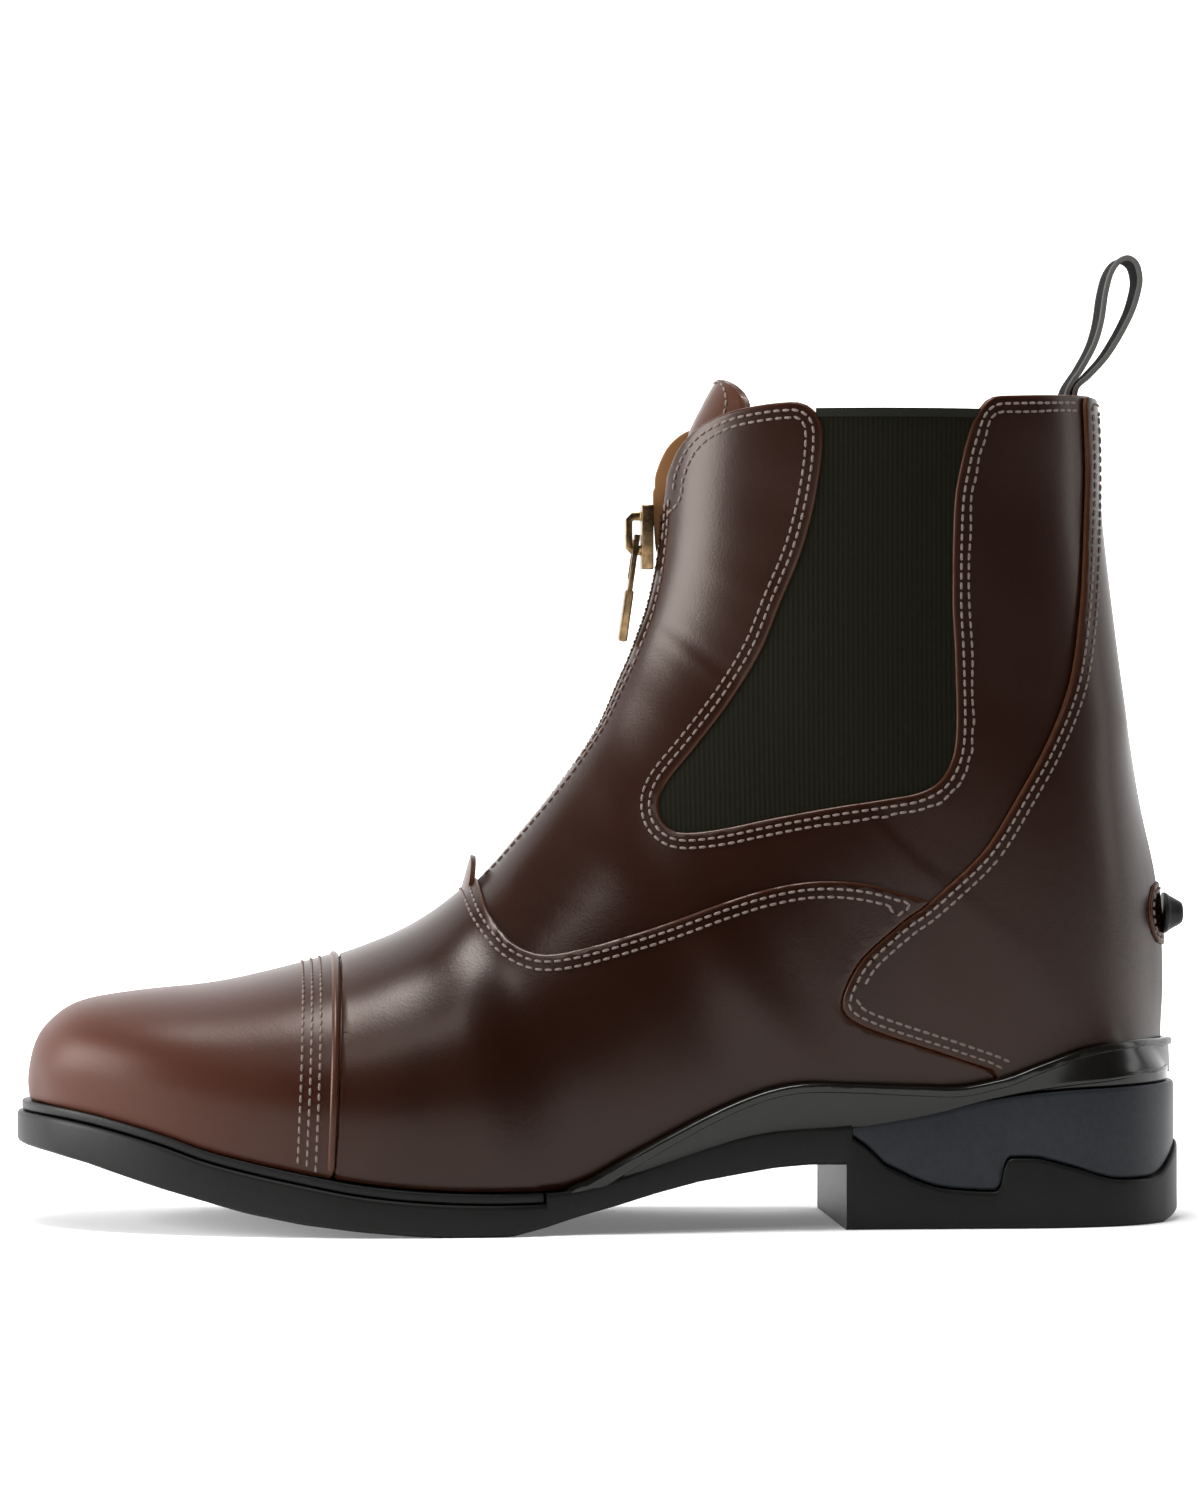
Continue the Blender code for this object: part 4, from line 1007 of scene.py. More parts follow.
def leather(name, dark, light, toe, grain=0.10, roughness=0.29):
    """Smooth polished leather: cloudy colour, redder at the toe, fine grain and a paler cut edge."""
    material, tree, shader, node = blank(name)
    place = node("TexCoord").outputs["Object"]
    cloud = node("TexNoise", {"Vector": place, "Scale": 18.0, "Detail": 2.0, "Roughness": 0.45})
    colour = ramp(node, cloud.outputs["Fac"], ((0.2, dark), (0.8, light)))
    apart = node("SeparateXYZ", {"Vector": place})
    forward = ranged(node, apart.outputs["X"], -0.050, -0.135, 0.0, 0.9)
    mixed = node("Mix", {"Factor": forward}, data_type="RGBA")
    tree.links.new(colour, mixed.inputs["A"])
    mixed.inputs["B"].default_value = (*toe, 1)
    edge = node("Attribute", attribute_name="edge")
    paler = ranged(node, edge.outputs["Fac"], 0.0001, 0.0009, 0.6, 0.0)
    trimmed = node("Mix", {"Factor": paler}, data_type="RGBA")
    tree.links.new(mixed.outputs["Result"], trimmed.inputs["A"])
    trimmed.inputs["B"].default_value = (*BROWN_EDGE, 1)
    tree.links.new(trimmed.outputs["Result"], shader.inputs["Base Color"])
    fine = node("TexVoronoi", {"Vector": place, "Scale": 1500.0})
    broad = node("TexNoise", {"Vector": place, "Scale": 260.0, "Detail": 5.0, "Roughness": 0.6})
    lines = node("Bump", {"Height": fine.outputs["Distance"], "Strength": grain, "Distance": 0.00012})
    relief = node("Bump", {
        "Height": broad.outputs["Fac"], "Strength": 0.07, "Distance": 0.0004,
        "Normal": lines.outputs["Normal"],
    })
    tree.links.new(relief.outputs["Normal"], shader.inputs["Normal"])
    dull = ranged(node, cloud.outputs["Fac"], 0.2, 0.8, roughness - 0.04, roughness + 0.06)
    worn = node("Math", {0: forward, 1: 0.16, 2: dull}, operation="MULTIPLY_ADD")
    tree.links.new(worn.outputs["Value"], shader.inputs["Roughness"])
    settle(shader, {"Specular IOR Level": 0.27, "Specular Tint": (1.0, 0.87, 0.80, 1)})
    return material


def plain(
    name, colour, roughness, metallic=0.0, scale=300.0, bump=0.2, depth=0.0002, spread=0.15, shine=0.18,
):
    """A moulded, metal or sewn surface with a fine grain and a little variation."""
    material, tree, shader, node = blank(name)
    place = node("TexCoord").outputs["Object"]
    noise = node("TexNoise", {"Vector": place, "Scale": scale, "Detail": 4.0, "Roughness": 0.6})
    low = tuple(channel * (1 - spread) for channel in colour)
    high = tuple(channel * (1 + spread) for channel in colour)
    tree.links.new(ramp(node, noise.outputs["Fac"], ((0.3, low), (0.7, high))), shader.inputs["Base Color"])
    relief = node("Bump", {"Height": noise.outputs["Fac"], "Strength": bump, "Distance": depth})
    tree.links.new(relief.outputs["Normal"], shader.inputs["Normal"])
    settle(shader, {"Roughness": roughness, "Metallic": metallic, "Specular IOR Level": shine})
    return material


# About the pitch of the band texture at scale 1
BAND_PITCH = 0.3183


def ribbed(name, colour, pitch, axis="X", depth=0.0005):
    """Woven stuff with even ribs across an axis, its colour darker in the ribs' troughs as painted shade.
    """
    material, tree, shader, node = blank(name)
    place = node("TexCoord").outputs["Object"]
    ribs = node("TexWave", {
        "Vector": place, "Scale": BAND_PITCH / pitch, "Distortion": 0.6, "Detail": 1.0,
        "Detail Scale": 60.0,
    }, wave_type="BANDS", bands_direction=axis, wave_profile="SIN")
    knit = node("TexNoise", {"Vector": place, "Scale": 2200.0, "Detail": 2.0})
    # The ribs' troughs are painted darker than their crests: painted shade in the hollows, following the
    # bump.
    low = tuple(channel * 0.7 for channel in colour)
    ribs_painted_shade = ramp(node, ribs.outputs["Fac"], ((0.15, low), (0.85, colour)))
    tree.links.new(ribs_painted_shade, shader.inputs["Base Color"])
    fuzz = node("Bump", {"Height": knit.outputs["Fac"], "Strength": 0.4, "Distance": 0.0002})
    relief = node("Bump", {
        "Height": ribs.outputs["Fac"], "Strength": 0.5, "Distance": depth, "Normal": fuzz.outputs["Normal"],
    })
    tree.links.new(relief.outputs["Normal"], shader.inputs["Normal"])
    settle(shader, {"Roughness": 0.85, "Specular IOR Level": 0.06})
    return material


brown = leather("brown_leather", BROWN_DARK, BROWN_LIGHT, BROWN_TOE)
lining = leather("tan_lining", (0.40, 0.19, 0.065), (0.52, 0.27, 0.10), (0.4, 0.2, 0.1), 0.2, 0.62)
raw_edge = plain("cut_leather_edge", (0.075, 0.028, 0.012), 0.75, scale=900.0)
thread = plain("thread", (0.150, 0.115, 0.100), 0.7, scale=3000.0, bump=0.5)
elastic = ribbed("gore_elastic", (0.0075, 0.0072, 0.0040), 0.00125, depth=0.00015)
binding = plain("gore_binding", (0.0058, 0.0060, 0.0040), 0.8, scale=1500.0, bump=0.5)
rubber = plain("sole_rubber", (0.0045, 0.0043, 0.0040), 0.45, scale=700.0, bump=0.2)
welt_rubber = plain("welt_rubber", (0.0055, 0.0052, 0.0050), 0.42, scale=1100.0, bump=0.4)
slate = plain("insert_rubber", (0.0155, 0.0175, 0.0210), 0.42, scale=700.0, bump=0.15)
gloss = plain("cup_plastic", (0.0062, 0.0060, 0.0048), 0.20, scale=60.0, bump=0.02, shine=0.32)
webbing = ribbed("loop_webbing", (0.006, 0.0055, 0.0055), 0.0011, "DIAGONAL", 0.0002)
web_edge = plain("loop_edge", (0.085, 0.082, 0.078), 0.8, scale=2500.0, bump=0.6)
brass = plain("dark_brass", (0.20, 0.130, 0.065), 0.28, 1.0, 420.0, 0.25, 0.0002, 0.55)
tape = plain("zip_tape", (0.010, 0.008, 0.007), 0.85, scale=2500.0, bump=0.5)


grid, out, skin = surface()

# Edges of the panels, rounded between their points
collar_line = smooth(side_points(COLLAR_EDGE))
gore_line = smooth(side_points(GORE_EDGE))
cap_line = side_points(CAP_EDGE)
vamp_line = smooth(side_points(VAMP_EDGE)[1:])
counter_line = smooth(side_points(COUNTER_EDGE))
start_x = along_x(CUT_START)
end_x = along_x(CUT_END)


def above_seat(first_x, last_x, rise):
    """A side view line above the line where the upper meets the sole."""
    x = np.linspace(first_x, last_x, 240)
    return np.stack([x, seat(x) + rise], 1)


def front_x(z):
    """Place of the front line at a height."""
    heights = level(table(UPPER_COLUMNS, UPPER_SECTIONS, "up"))
    return curve(heights, along_x(table(UPPER_COLUMNS, UPPER_SECTIONS, "front")), z)


def slit(points):
    """Field that is positive away from the zip's opening."""
    below = np.maximum(level(ZIP_ROOT) - points[:, 2], 0)
    gap = np.hypot(points[:, 1], below) - ZIP_WIDTH / 2
    return np.where(points[:, 0] > front_x(points[:, 2]) + SLIT_REACH, 1.0, gap)


body_region = region(np.concatenate([
    [(start_x, collar_line[0, 1])], collar_line, [(end_x, collar_line[-1, 1])],
    above_seat(start_x, end_x, GAP)[::-1],
]))
gore_region = region(gore_line)


def rim_field(points):
    """Distance from the collar and the gore's edge, with the corner between them rounded."""
    radius = np.where(points[:, 0] < gore_line[:, 0].mean(), CORNER, CORNER_REAR)
    collar = np.maximum(radius - body_region(points), 0)
    side = np.maximum(radius + gore_region(points), 0)
    return radius - np.hypot(collar, side)


def ringed(patch, field, places=EDGE_RINGS):
    """The patch with extra edges beside its border, for the rounding."""
    for place in places:
        patch = patch.cut(field, place, True)
    return patch


def quarter_field(points):
    """Distance from the nearest of all the quarters' edges."""
    return np.minimum(rim_field(points), slit(points))


quarter_patch = skin.cut(body_region).cut(outside(gore_region)).cut(rim_field).cut(slit)
quarter_patch = ringed(quarter_patch, quarter_field, (0.0005, 0.0002))
upper = layer("upper_leather", quarter_patch, -WALL, 0.0, (brown, lining, raw_edge), quarter_field, 0.0006)
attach(upper, "boot")
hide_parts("upper")


def panel(name, loop, height, node_name, rounding, sections):
    """An overlay between the upper's surface and its own height, inside a side view loop."""
    field = region(loop)
    first, last = sections
    steps = section_steps()
    rows = (steps >= first - 1) & (steps <= last + 1)
    low_row = int(np.argmax(rows))
    high_row = len(steps) - 1 - int(np.argmax(rows[::-1]))
    columns = grid.shape[1]
    faces = [
        face - low_row * columns for face in skin.faces
        if face.min() >= low_row * columns and face.max() < (high_row + 1) * columns
    ]
    patch = Patch(
        grid[low_row:high_row + 1].reshape(-1, 3), out[low_row:high_row + 1].reshape(-1, 3), faces,
    )
    patch = ringed(patch.cut(field), field, (rounding, rounding / 3))
    item = layer(name, patch, GAP, GAP + height, (brown, brown, raw_edge), field, rounding)
    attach(item, "boot")
    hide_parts(node_name)
    return field


roof = level(1.15)
panel("toe_cap_leather", np.concatenate([
    above_seat(start_x, cap_line[0, 0], 2 * GAP), cap_line[1:], [(cap_line[-1, 0], roof), (start_x, roof)],
]), CAP_LAYER, "toe_cap", 0.0007, (0, 13))

step = np.array([GAP, 0])
below_vamp = counter_line[counter_line[:, 1] < vamp_line[-1, 1]]
vamp_field = panel("vamp_leather", np.concatenate([
    cap_line[1:] + step, [(cap_line[-1, 0] + GAP, roof), (vamp_line[0, 0], roof)], vamp_line,
    below_vamp - step, above_seat(cap_line[0, 0] + GAP, below_vamp[-1, 0] - GAP, 2 * GAP)[::-1],
]), VAMP_LAYER, "vamp", 0.0006, (0, 20))

collar_top = level(COUNTER_TOP)
rear = counter_line[counter_line[:, 1] < collar_top]
counter_field = panel("counter_leather", np.concatenate([
    [(rear[0, 0], collar_top)], rear, above_seat(rear[-1, 0], end_x, 2 * GAP), [(end_x, collar_top)],
]), COUNTER_LAYER, "counter", 0.0007, (8, 26))

# Elastic gores, with a dark binding along the top
gore_top = level(COLLAR_AT_GORE) - GAP
gore_low = -GORE_DEPTH - GORE_LAYER
for side, sign in (("lateral", -1), ("medial", 1)):
    patch = skin.cut(gore_region, -GORE_OVERLAP).cut(lambda points: gore_top - points[:, 2])
    patch = patch.cut(lambda points, sign=sign: points[:, 1] * sign)
    item = layer(f"gore_{side}_elastic", patch, gore_low, -GORE_DEPTH, (elastic,) * 3)
    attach(item, "boot")
    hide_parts(f"gore_{side}")
    strip = patch.cut(lambda points: points[:, 2] - gore_top + BINDING_HEIGHT)
    fold_high = -GORE_DEPTH + BINDING_RISE
    fold = layer(f"gore_{side}_binding", strip, gore_low - GAP, fold_high, (binding,) * 3)
    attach(fold, "boot")

# Cup with its lip
rows_at = table(CUP_COLUMNS, CUP_ROWS, "along")
cup_along = np.concatenate([np.linspace(rows_at[0], rows_at[-1], 160), [CUT_END]])
cup_x = along_x(cup_along)
cup_rim, cup_low = (
    seat(cup_x) + CUP_HEIGHT * curve(rows_at, table(CUP_COLUMNS, CUP_ROWS, name), cup_along)
    for name in ("rim", "low")
)
cup_low = np.maximum(cup_low, seat(cup_x) + 2 * GAP)
rim_line = np.stack([cup_x, cup_rim], 1)
cup_region = region(np.concatenate([rim_line, np.stack([cup_x, cup_low], 1)[::-1]]))


def below_rim(points):
    """Distance from the cup's rim."""
    return distance_to(rim_line, points[:, [0, 2]])


cup_patch = ringed(skin.cut(cup_region), below_rim, (CUP_LIP_HEIGHT, CUP_LIP_HEIGHT - CUP_LIP_SLOPE))
cup_patch = ringed(cup_patch, cup_region)
lip = np.clip((CUP_LIP_HEIGHT - below_rim(cup_patch.points)) / CUP_LIP_SLOPE, 0, 1)
cup_inner = 3 * GAP + COUNTER_LAYER
cup_outer = cup_inner + CUP_WALL + CUP_LIP * lip
cup = layer("shank_cup_gloss", cup_patch, cup_inner, cup_outer, (gloss,) * 3, cup_region, 0.0007)
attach(cup, "boot")
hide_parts("shank_cup")


# Sole
def stations(first, last, count):
    """Places along the sole, closer together at its ends."""
    angles = np.linspace(round_end(first), round_end(last), count)
    return (1 - np.cos(angles * math.pi)) / 2


def heel_stations(count):
    """Places along the heel block, closer together where it turns across."""
    even = np.linspace(INSERT_START, HEEL_TURN, count)
    return np.unique(np.concatenate([even, stations(HEEL_TURN, 1, 40)]))


def plate(name, rows, inset, material, chamfer, node_name=None):
    """A layer of the sole from rows of (along, low, high), with rounded edges."""
    along, low, high = np.array(rows, float).T
    small = np.minimum(chamfer, 0.3 * (high - low))
    turns = np.linspace(0, math.pi / 2, 5)
    levels = [
        (inset + chamfer * (1 - math.sin(turn)), low + small * (1 - math.cos(turn))) for turn in turns
    ] + [
        (inset + chamfer / 2 * (1 - math.cos(turn)), high - small * (1 - math.sin(turn))) for turn in turns
    ]
    count = len(along)
    ring_count = 2 * count
    points = []
    for move, heights in levels:
        outer, inner = outline(along, move)
        plan = np.concatenate([outer, inner[::-1]])
        points.extend(np.column_stack([plan, np.concatenate([heights, heights[::-1]])]))
    faces = []
    for tier in range(len(levels) - 1):
        faces += band(tier * ring_count, ring_count)
    for base in (0, (len(levels) - 1) * ring_count):
        for index in range(count - 1):
            other = ring_count - 1 - index
            face = (base + index, base + index + 1, base + other - 1, base + other)
            faces.append(face if base else face[::-1])
    item = mesh_object(name, points, faces, material)
    shape = bmesh.new()
    shape.from_mesh(item.data)
    bmesh.ops.remove_doubles(shape, verts=shape.verts, dist=1e-6)
    bmesh.ops.dissolve_degenerate(shape, edges=shape.edges, dist=1e-6)
    bmesh.ops.recalc_face_normals(shape, faces=shape.faces)
    if shape.calc_volume(signed=True) < 0:
        bmesh.ops.reverse_faces(shape, faces=shape.faces)
    shape.to_mesh(item.data)
    shape.free()
    item.data.set_sharp_from_angle(angle=math.radians(30))
    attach(item, "boot")
    if node_name:
        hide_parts(node_name)


rows = []
for along in stations(0, MIDSOLE_END, 80):
    rows.append((along, tread(along), seat(along_x(along)) - 2 * GAP - WELT_HEIGHT))
for along in np.linspace(MIDSOLE_END, BREAST, 50):
    rows.append((along, min(tread(along), tread(BREAST)), seat(along_x(along)) - GAP))
rows.append((BREAST, 0, seat(along_x(BREAST)) - GAP))
insert_at = INSERT_START - GAP / LENGTH
rows.append((insert_at, 0, seat(along_x(INSERT_START)) - GAP))
rows.append((insert_at, 0, wave(INSERT_START) - GAP))
bevel_start, bevel_rise = HEEL_BEVEL
for along in heel_stations(90)[1:]:
    rise = max(0, along - bevel_start) / (1 - bevel_start) * bevel_rise * HEEL_STACK
    rows.append((along, rise, wave(along) - GAP))
plate("outsole_rubber", rows, 0, rubber, EDGE_CHAMFER, "outsole")

rows = []
for along in stations(0, MIDSOLE_END - GAP / LENGTH, 80):
    top = seat(along_x(along)) - GAP
    rows.append((along, top - WELT_HEIGHT, top))
plate("welt", rows, WELT_INSET, welt_rubber, EDGE_CHAMFER / 2, "midsole")

rows = []
for along in heel_stations(90):
    rows.append((along, wave(along), seat(along_x(along)) - GAP))
plate("heel_insert_rubber", rows, INSERT_INSET, slate, EDGE_CHAMFER, "heel_insert")

# Foot of the cup, down on the insert
rows = []
for along in heel_stations(60):
    low = seat(along_x(along)) - GAP / 2
    rows.append((along, low, low + CUP_FOOT))
plate("cup_foot", rows, SEAT_INSET - CUP_FOOT_REACH, gloss, EDGE_CHAMFER / 2)


# Stitch rows
def above_sole(points):
    return points[:, 2] > seat(points[:, 0]) + SOLE_STOP


def rows_of(field, values, keep=None):
    """Lines on the surface where the field has each of the values."""
    lines = []
    for value in values:
        lines += isolines(grid, out, field, value, keep)
    return lines


def near(line):
    """Whether each point lies near a line in side view."""
    return lambda points: distance_to(line, points[:, [0, 2]]) < EDGE_REACH


def on_rim(points):
    by_edge = near(collar_line)(points) | (abs(gore_region(points)) < GORE_REACH)
    return by_edge & (slit(points) > ZIP_STOP) & (counter_field(points) < -PANEL_STOP)


def on_zip(points):
    on_body = (body_region(points) > 0.0012) & (slit(points) > 0.001)
    by_zip = points[:, 0] < front_x(points[:, 2]) + ZIP_STITCH_REACH
    return on_body & (vamp_field(points) < -0.001) & by_zip


def on_vamp(points):
    return near(vamp_line)(points) & (points[:, 0] < counter_line[:, 0].min() + VAMP_STITCH_END)


def on_counter(points):
    return near(counter_line)(points) & (points[:, 2] > seat(points[:, 0]) + CUP_HEIGHT * CUP_STOP)


def cap_edge(points):
    """How far each point lies in front of the toe cap's edge."""
    return np.interp(points[:, 2], cap_line[:, 1], cap_line[:, 0]) - points[:, 0]


cap_top = GAP + CAP_LAYER
vamp_top = GAP + VAMP_LAYER
counter_top = GAP + COUNTER_LAYER
stitches("rim_stitches", rows_of(rim_field, RIM_STITCHES, on_rim), 0.0, thread)
stitches("zip_stitches", rows_of(slit, ZIP_STITCHES, on_zip), 0.0, thread)
stitches("vamp_stitches", rows_of(vamp_field, VAMP_STITCHES, on_vamp), vamp_top, thread)
stitches("counter_stitches", rows_of(counter_field, COUNTER_STITCHES, on_counter), counter_top, thread)
stitches("cap_stitches", rows_of(cap_edge, CAP_STITCHES, above_sole), cap_top, thread)
tube("cap_bead", rows_of(cap_edge, (BEAD_PLACE,), above_sole), cap_top - BEAD_SINK, BEAD_RADIUS, brown)


# Sheets
def bevelled(item, width, segments, angle):
    """Rounds the item's sharp edges."""
    soften = item.modifiers.new("edge", "BEVEL")
    soften.width = width
    soften.segments = segments
    soften.limit_method = "ANGLE"
    soften.angle_limit = math.radians(angle)


def two_sided(name, front, rear, rows, columns, material):
    """A closed sheet between two grids of points."""
    faces = grid_faces(rows, columns)
    faces += [tuple(index + rows * columns for index in face[::-1]) for face in faces]
    rim = [*range(columns)]
    rim += [row * columns + columns - 1 for row in range(1, rows)]
    rim += [(rows - 1) * columns + column for column in range(columns - 2, -1, -1)]
    rim += [row * columns for row in range(rows - 2, 0, -1)]
    for index, start in enumerate(rim):
        ahead = rim[(index + 1) % len(rim)]
        faces.append((start, ahead, ahead + rows * columns, start + rows * columns))
    item = mesh_object(name, np.concatenate([front, rear]), faces, material)
    shape = bmesh.new()
    shape.from_mesh(item.data)
    bmesh.ops.recalc_face_normals(shape, faces=shape.faces)
    shape.to_mesh(item.data)
    shape.free()
    bevelled(item, 0.0003, 2, 50)
    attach(item, "boot")
    return item


# Tongue, from rays against the inside of the wall
inside_wall = BVHTree.FromPolygons(
    [tuple(point) for point in skin.points - WALL * skin.out],
    [tuple(map(int, face)) for face in skin.faces],
)
tongue_rows, tongue_columns = TONGUE_STEPS
tongue_low, tongue_bend = level(TONGUE_ROOT), level(TONGUE_BEND)
rest = np.linspace(1, 0, tongue_rows) ** TONGUE_CROWDING
heights = TONGUE_HEIGHT - (TONGUE_HEIGHT - tongue_low) * rest
left = (heights[-1] - heights) / (TONGUE_WIDTH / 2)
round_top = np.sqrt(np.clip(1 - np.clip(1 - left, 0, 1) ** 3, 0.02, 1))
lean_share = np.clip((heights - tongue_bend) / (TONGUE_HEIGHT - tongue_bend), 0, 1)
ray_top = grid[-1, UPPER_HALF_COLUMNS, 2] - 3 * WALL
front = []
for z, half, share in zip(heights, TONGUE_WIDTH / 2 * round_top, lean_share):
    for y in half * np.linspace(-1, 1, tongue_columns):
        start = Vector((SHAFT_WIDTH, y, min(z, ray_top)))
        hit = inside_wall.ray_cast(start, Vector((-1, 0, 0)))[0]
        lean = TONGUE_LEAN * share**TONGUE_LATE
        bow = TONGUE_BOW * share * (2 * y / TONGUE_WIDTH) ** 2
        front.append((hit.x + TONGUE_CLEARANCE + lean + bow, y, z))
front = np.array(front)
tongue = two_sided("tongue_leather", front, front + (TONGUE_LAYER, 0, 0), *TONGUE_STEPS, brown)
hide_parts("tongue")

# Its stitches run up one side, across and down the other
sheet = front.reshape(tongue_rows, tongue_columns, 3)
half_way = tongue_rows // 2
tongue_edge = np.concatenate([sheet[half_way:-3, 4], sheet[-4, 5:-5:2], sheet[-4:half_way:-1, -5]])
forwards = np.tile((-1.0, 0, 0), (len(tongue_edge), 1))
stitches("tongue_stitches", [np.hstack([tongue_edge, forwards])], 0.0, thread)

# Zip: tape, teeth, slider and pull
z_line = np.linspace(level(ZIP_ROOT), level(CHAIN_TOP), 90)
tape_line = np.stack([front_x(z_line), z_line], 1)
tape_way = unit_way(tape_line)
inwards = np.stack([tape_way[:, 1], -tape_way[:, 0]], 1)
tape_half = ZIP_WIDTH / 2 - GAP
tape_columns = 9
strip_front, strip_rear = (
    np.array([(x, y, z) for x, z in line for y in np.linspace(-tape_half, tape_half, tape_columns)])
    for line in (tape_line + inwards * (GAP + TAPE_BACK), tape_line + inwards * (GAP + ZIP_LAYER))
)
chain = two_sided("zip_tape", strip_front, strip_rear, len(tape_line), tape_columns, tape)
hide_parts("zip_chain")
teeth = bmesh.new()
run = run_of(tape_line)
for index, at in enumerate(np.arange(TOOTH_START, run[-1] - TOOTH_START, TOOTH_PITCH)):
    x, z, wx, wz = (np.interp(at, run, values) for values in (*tape_line.T, *tape_way.T))
    side = 1 if index % 2 else -1
    turn = Matrix.Rotation(math.atan2(wx, wz), 4, "Y")
    middle = (x + wz * TOOTH_SINK, side * TOOTH_SIDE, z - wx * TOOTH_SINK)
    place = Matrix.Translation(middle) @ turn
    bmesh.ops.create_cube(teeth, size=1, matrix=place @ Matrix.Diagonal((*TOOTH, 1)))
teeth_mesh = bpy.data.meshes.new("zip_teeth")
teeth.to_mesh(teeth_mesh)
teeth.free()
teeth_mesh.materials.append(brass)
teeth_item = bpy.data.objects.new("zip_teeth", teeth_mesh)
bpy.context.scene.collection.objects.link(teeth_item)
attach(teeth_item, "boot")


def softened(name, node_name, body, width):
    """The CAD piece with rounded edges."""
    item = bpy.data.objects.new(name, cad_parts[node_name].data.copy())
    bpy.context.scene.collection.objects.link(item)
    shape = bmesh.new()
    shape.from_mesh(item.data)
    bmesh.ops.remove_doubles(shape, verts=shape.verts, dist=1e-6)
    shape.to_mesh(item.data)
    shape.free()
    item.data.materials.clear()
    item.data.materials.append(brass)
    item.data.polygons.foreach_set("material_index", [0] * len(item.data.polygons))
    bevelled(item, width, 3, 35)
    item.data.shade_smooth()
    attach(item, body)
    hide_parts(node_name)


softened("slider_metal", "zip_slider", "boot", 0.00035)
softened("pull_metal", "zip_pull", "zip_pull", 0.00025)

# Pull loop of webbing, folded on itself
top = SHAFT_HEIGHT + 2 * GAP
spread = (LOOP_WIDTH / 2) ** 2 / (BACK_ROUNDING * SHAFT_WIDTH)
outer_x = float(back_x(top)) - WALL - spread - GAP - LOOP_LAYER / 2
inner_x = outer_x - LOOP_LAYER - GAP
loop = np.array([inner_x, top]) + LOOP_REACH * np.array(LOOP_PATH)
loop[-1, 0] = outer_x + LOOP_LAYER / 2
loop_path = smooth(np.concatenate([
    [(inner_x, top - LOOP_TAIL), (inner_x, top - LOOP_TAIL / 2)], loop,
    [(outer_x, top - LOOP_TAIL / 2), (outer_x, top - LOOP_TAIL)],
]), 8)
loop_way = unit_way(loop_path)
loop_out = np.stack([loop_way[:, 1], -loop_way[:, 0]], 1)


def loop_strip(name, low_y, high_y, layer_height, material):
    """A strip along the loop, between two places across it."""
    columns = 5
    sides_of = []
    for distance in (-layer_height / 2, layer_height / 2):
        moved = loop_path + distance * loop_out
        points = [(x, y, z) for x, z in moved for y in np.linspace(low_y, high_y, columns)]
        sides_of.append(np.array(points))
    return two_sided(name, *sides_of, len(loop_path), columns, material)


half = LOOP_WIDTH / 2
inner_half = half - SELVEDGE_OVERLAP
webbing_item = loop_strip("loop_webbing", -inner_half, inner_half, LOOP_LAYER, webbing)
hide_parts("pull_loop")
for side, sign in (("outer", -1), ("inner", 1)):
    edges = sorted((sign * (half - SELVEDGE), sign * half))
    loop_strip(f"loop_selvedge_{side}", *edges, LOOP_LAYER * SELVEDGE_LAYER, web_edge)

# Spur rest: a turned stub on a round stitched patch
spur_z = float(level(SPUR_UP))
near_z = np.linspace(spur_z - SPUR_FOOT * SPUR_RADIUS, spur_z + SPUR_FOOT * SPUR_RADIUS, 5)
spur_x = float(back_x(near_z).max()) + 2 * GAP + COUNTER_LAYER
profile = smooth(SPUR_PROFILE, 6)
points, faces = [(spur_x, 0, spur_z)], []
sides = SPUR_SIDES
for radius, reach in profile[:-1]:
    for index in range(sides):
        angle = 2 * math.pi * index / sides
        points.append((
            spur_x + SPUR_REACH * reach, SPUR_RADIUS * radius * math.cos(angle),
            spur_z + SPUR_RADIUS * radius * math.sin(angle),
        ))
points.append((spur_x + SPUR_REACH, 0, spur_z))
last = 1 + (len(profile) - 2) * sides
for index in range(sides):
    ahead = (index + 1) % sides
    faces.append((0, 1 + ahead, 1 + index))
    faces.append((last + index, last + ahead, len(points) - 1))
for low in range(1, last, sides):
    faces += band(low, sides)
spur = mesh_object("spur_rubber", points, faces, rubber)
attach(spur, "boot")
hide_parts("spur_rest")

patch_centre = np.array([spur_x, 0.0, spur_z])


def patch_field(points):
    """How far inside the round patch each point lies."""
    return PATCH_RADIUS - np.linalg.norm(points - patch_centre, axis=1)


spur_patch = ringed(skin.cut(patch_field), patch_field)
low = GAP + COUNTER_LAYER
high = low + PATCH_LAYER
round_patch = layer("spur_patch", spur_patch, low, high, (brown, brown, raw_edge), patch_field, 0.0005)
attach(round_patch, "boot")
patch_rows = rows_of(patch_field, PATCH_STITCHES)
stitches("patch_stitches", patch_rows, high, thread, PATCH_PITCH, PATCH_LENGTH)

# Insole keeps its solid and gets the lining's leather
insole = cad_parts["insole"]
insole.data.materials.clear()
insole.data.materials.append(lining)

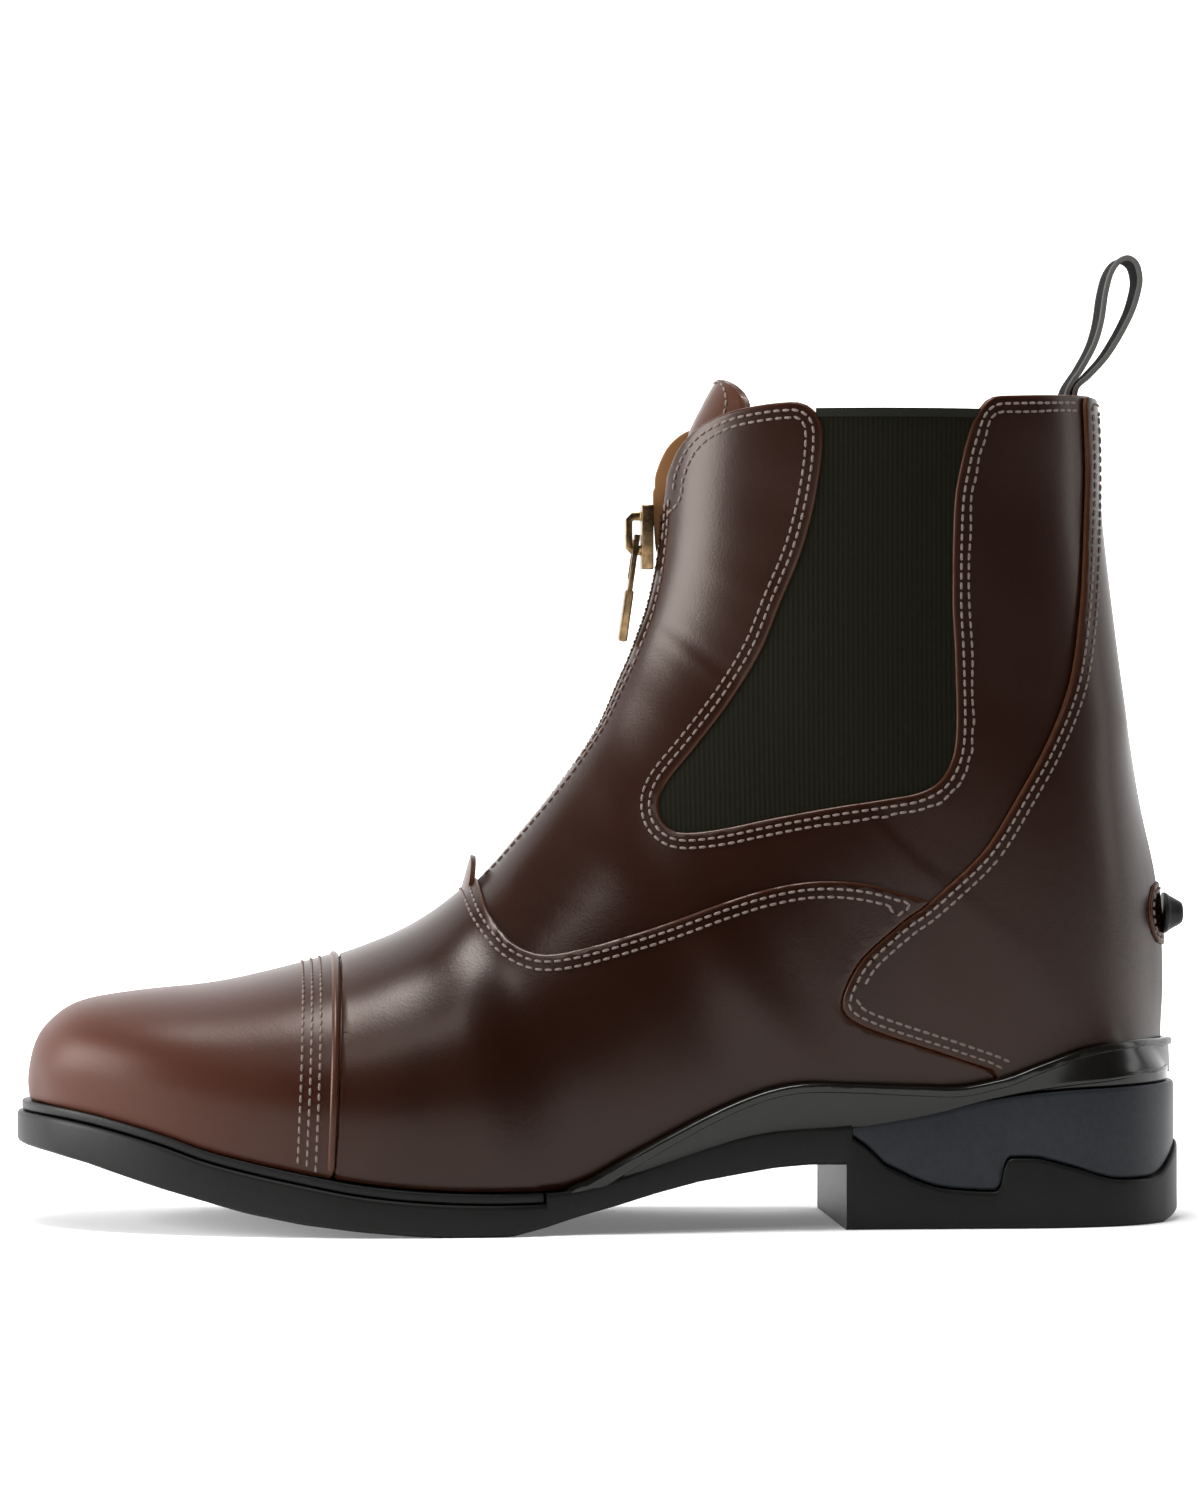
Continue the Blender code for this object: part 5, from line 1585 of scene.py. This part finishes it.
# Edge of the inner quarter, which shows its lining in front of the outer one
on_boot = collar_line[:, 0] > front_x(collar_line[:, 1]) + FACING_CLEAR
facing_high = collar_line[int(np.argmax(on_boot)):]
facing_z = np.linspace(facing_high[0, 1] - FACING_DOWN, facing_high[0, 1], 20)[:-1]
facing_low = np.stack([front_x(facing_z), facing_z], 1)
facing_high = facing_high[facing_high[:, 0] < facing_high[0, 0] + FACING_ALONG]
facing_path = np.concatenate([facing_low, facing_high])
facing_way = unit_way(facing_path)
facing_out = np.stack([-facing_way[:, 1], facing_way[:, 0]], 1)
facing_rows, facing_columns = len(facing_path), 7
facing_front, facing_rear = [], []
for index, (place, way_out) in enumerate(zip(facing_path, facing_out)):
    rise = FACING_RISE * math.sin(math.pi * index / (facing_rows - 1)) ** 0.7
    for y in np.linspace(*FACING_ACROSS, facing_columns):
        lift = rise - y * FACING_SLOPE
        for points, distance in ((facing_front, lift), (facing_rear, min(lift, 0) - FACING_LAYER)):
            x, z = place + distance * way_out
            points.append((x, y, z))
facing_sides = np.array(facing_front), np.array(facing_rear)
facing = two_sided("quarter_facing", *facing_sides, facing_rows, facing_columns, brown)
facing.data.materials.append(lining)
for polygon in facing.data.polygons:
    polygon.material_index = int(polygon.normal.y < FACING_LINED)

# Tab that stands off the instep at the zip's root
tab_root, tab_tip = side_points((TAB_ROOT, TAB_TIP))
tab_way = (tab_tip - tab_root) / np.linalg.norm(tab_tip - tab_root)
tab_out = np.array([-tab_way[1], tab_way[0]])
tab_rows, tab_columns = 24, 17
tab_front = []
for share in np.linspace(0, 1, tab_rows):
    middle = tab_root + share * (tab_tip - tab_root)
    reach = TAB_HALF * math.sqrt(max(1 - share**2, 0.01))
    for y in reach * np.linspace(-1, 1, tab_columns):
        x, z = middle - TAB_CURVE * y * y * tab_out
        tab_front.append((x, y, z))
tab_front = np.array(tab_front)
tab_rear = tab_front - TAB_LAYER * np.array([tab_out[0], 0, tab_out[1]])
two_sided("vamp_tab", tab_front, tab_rear, tab_rows, tab_columns, brown)

# Stage, light and camera. The floor glows, less so round the boot and in front of it, and its rear turns
# up into a wall
HALF_FLOOR = 6
FLOOR_FRONT = -3
FLOOR_REAR = 1.2
FLOOR_TURN = 0.8
WALL_TOP = 4
ground, ground_tree, ground_shader, ground_node = blank("floor")
ground_place = ground_node("TexCoord").outputs["Object"]
ground_apart = ground_node("SeparateXYZ", {"Vector": ground_place})
ground_far = ground_node("VectorMath", {0: ground_place}, operation="LENGTH")
glow_far = ranged(ground_node, ground_far.outputs["Value"], 0.26, 0.75, 0.16, 1.0)
glow_near = ranged(ground_node, ground_apart.outputs["Y"], -2.0, -0.55, 0.35, 1.0)
glow = ground_node("Math", {0: glow_far, 1: glow_near}, operation="MULTIPLY")
ground_tree.links.new(glow.outputs["Value"], ground_shader.inputs["Emission Strength"])
settle(ground_shader, {
    "Emission Color": (1, 1, 1, 1), "Base Color": (0.9, 0.9, 0.9, 1), "Roughness": 0.9,
    "Specular IOR Level": 0.0,
})
floor_side = [(FLOOR_FRONT, 0), (FLOOR_REAR, 0)]
for angle in np.linspace(0, math.pi / 2, 13)[1:]:
    turned_y = FLOOR_REAR + FLOOR_TURN * math.sin(angle)
    floor_side.append((turned_y, FLOOR_TURN - FLOOR_TURN * math.cos(angle)))
floor_side.append((FLOOR_REAR + FLOOR_TURN, WALL_TOP))
sweep = [(x, y, z) for y, z in floor_side for x in (-HALF_FLOOR, HALF_FLOOR)]
sweep_faces = [(index, index + 1, index + 3, index + 2) for index in range(0, len(sweep) - 3, 2)]
floor = mesh_object("floor", sweep, sweep_faces, ground, sharp=180)

world = bpy.data.worlds.new("studio")
bpy.context.scene.world = world
world.use_nodes = True
settle(world.node_tree.nodes["Background"], {"Color": (1, 1, 1, 1), "Strength": 0.04})


def lamp(name, place, target, size, power):
    """A rectangular lamp that points at a target."""
    light = bpy.data.lights.new(name, "AREA")
    light.shape = "RECTANGLE"
    light.size, light.size_y = size
    light.energy = power
    item = bpy.data.objects.new(name, light)
    item.location = place
    item.rotation_euler = (Vector(target) - Vector(place)).to_track_quat("-Z", "Y").to_euler()
    bpy.context.scene.collection.objects.link(item)


lamp("side", (-1.30, -0.12, 0.42), (0, 0, 0.12), (0.75, 0.75), 27)
lamp("top", (-0.15, -0.10, 1.5), (0, 0, 0.1), (0.7, 0.5), 27)
lamp("key", (-0.4, -1.3, 1.7), (0, 0, 0.1), (0.5, 0.5), 5)
lamp("rear", (1.3, 0.10, 0.5), (0, 0, 0.12), (0.25, 0.8), 2)

# The photo's height at its scale, and where its middle lies
FRAME_HEIGHT = 0.2565e-3 * 1500
EYE_HEIGHT = 0.1205
DISTANCE = 1.4
TURN = math.radians(4)
camera = bpy.data.cameras.new("camera")
camera.lens = camera.sensor_width * DISTANCE / FRAME_HEIGHT
eye = bpy.data.objects.new("camera", camera)
eye.location = (-DISTANCE * math.sin(TURN), -DISTANCE * math.cos(TURN), EYE_HEIGHT)
eye.rotation_euler = (math.pi / 2, 0, -TURN)
bpy.context.scene.collection.objects.link(eye)
bpy.context.scene.camera = eye
bpy.context.scene.view_settings.view_transform = "Standard"
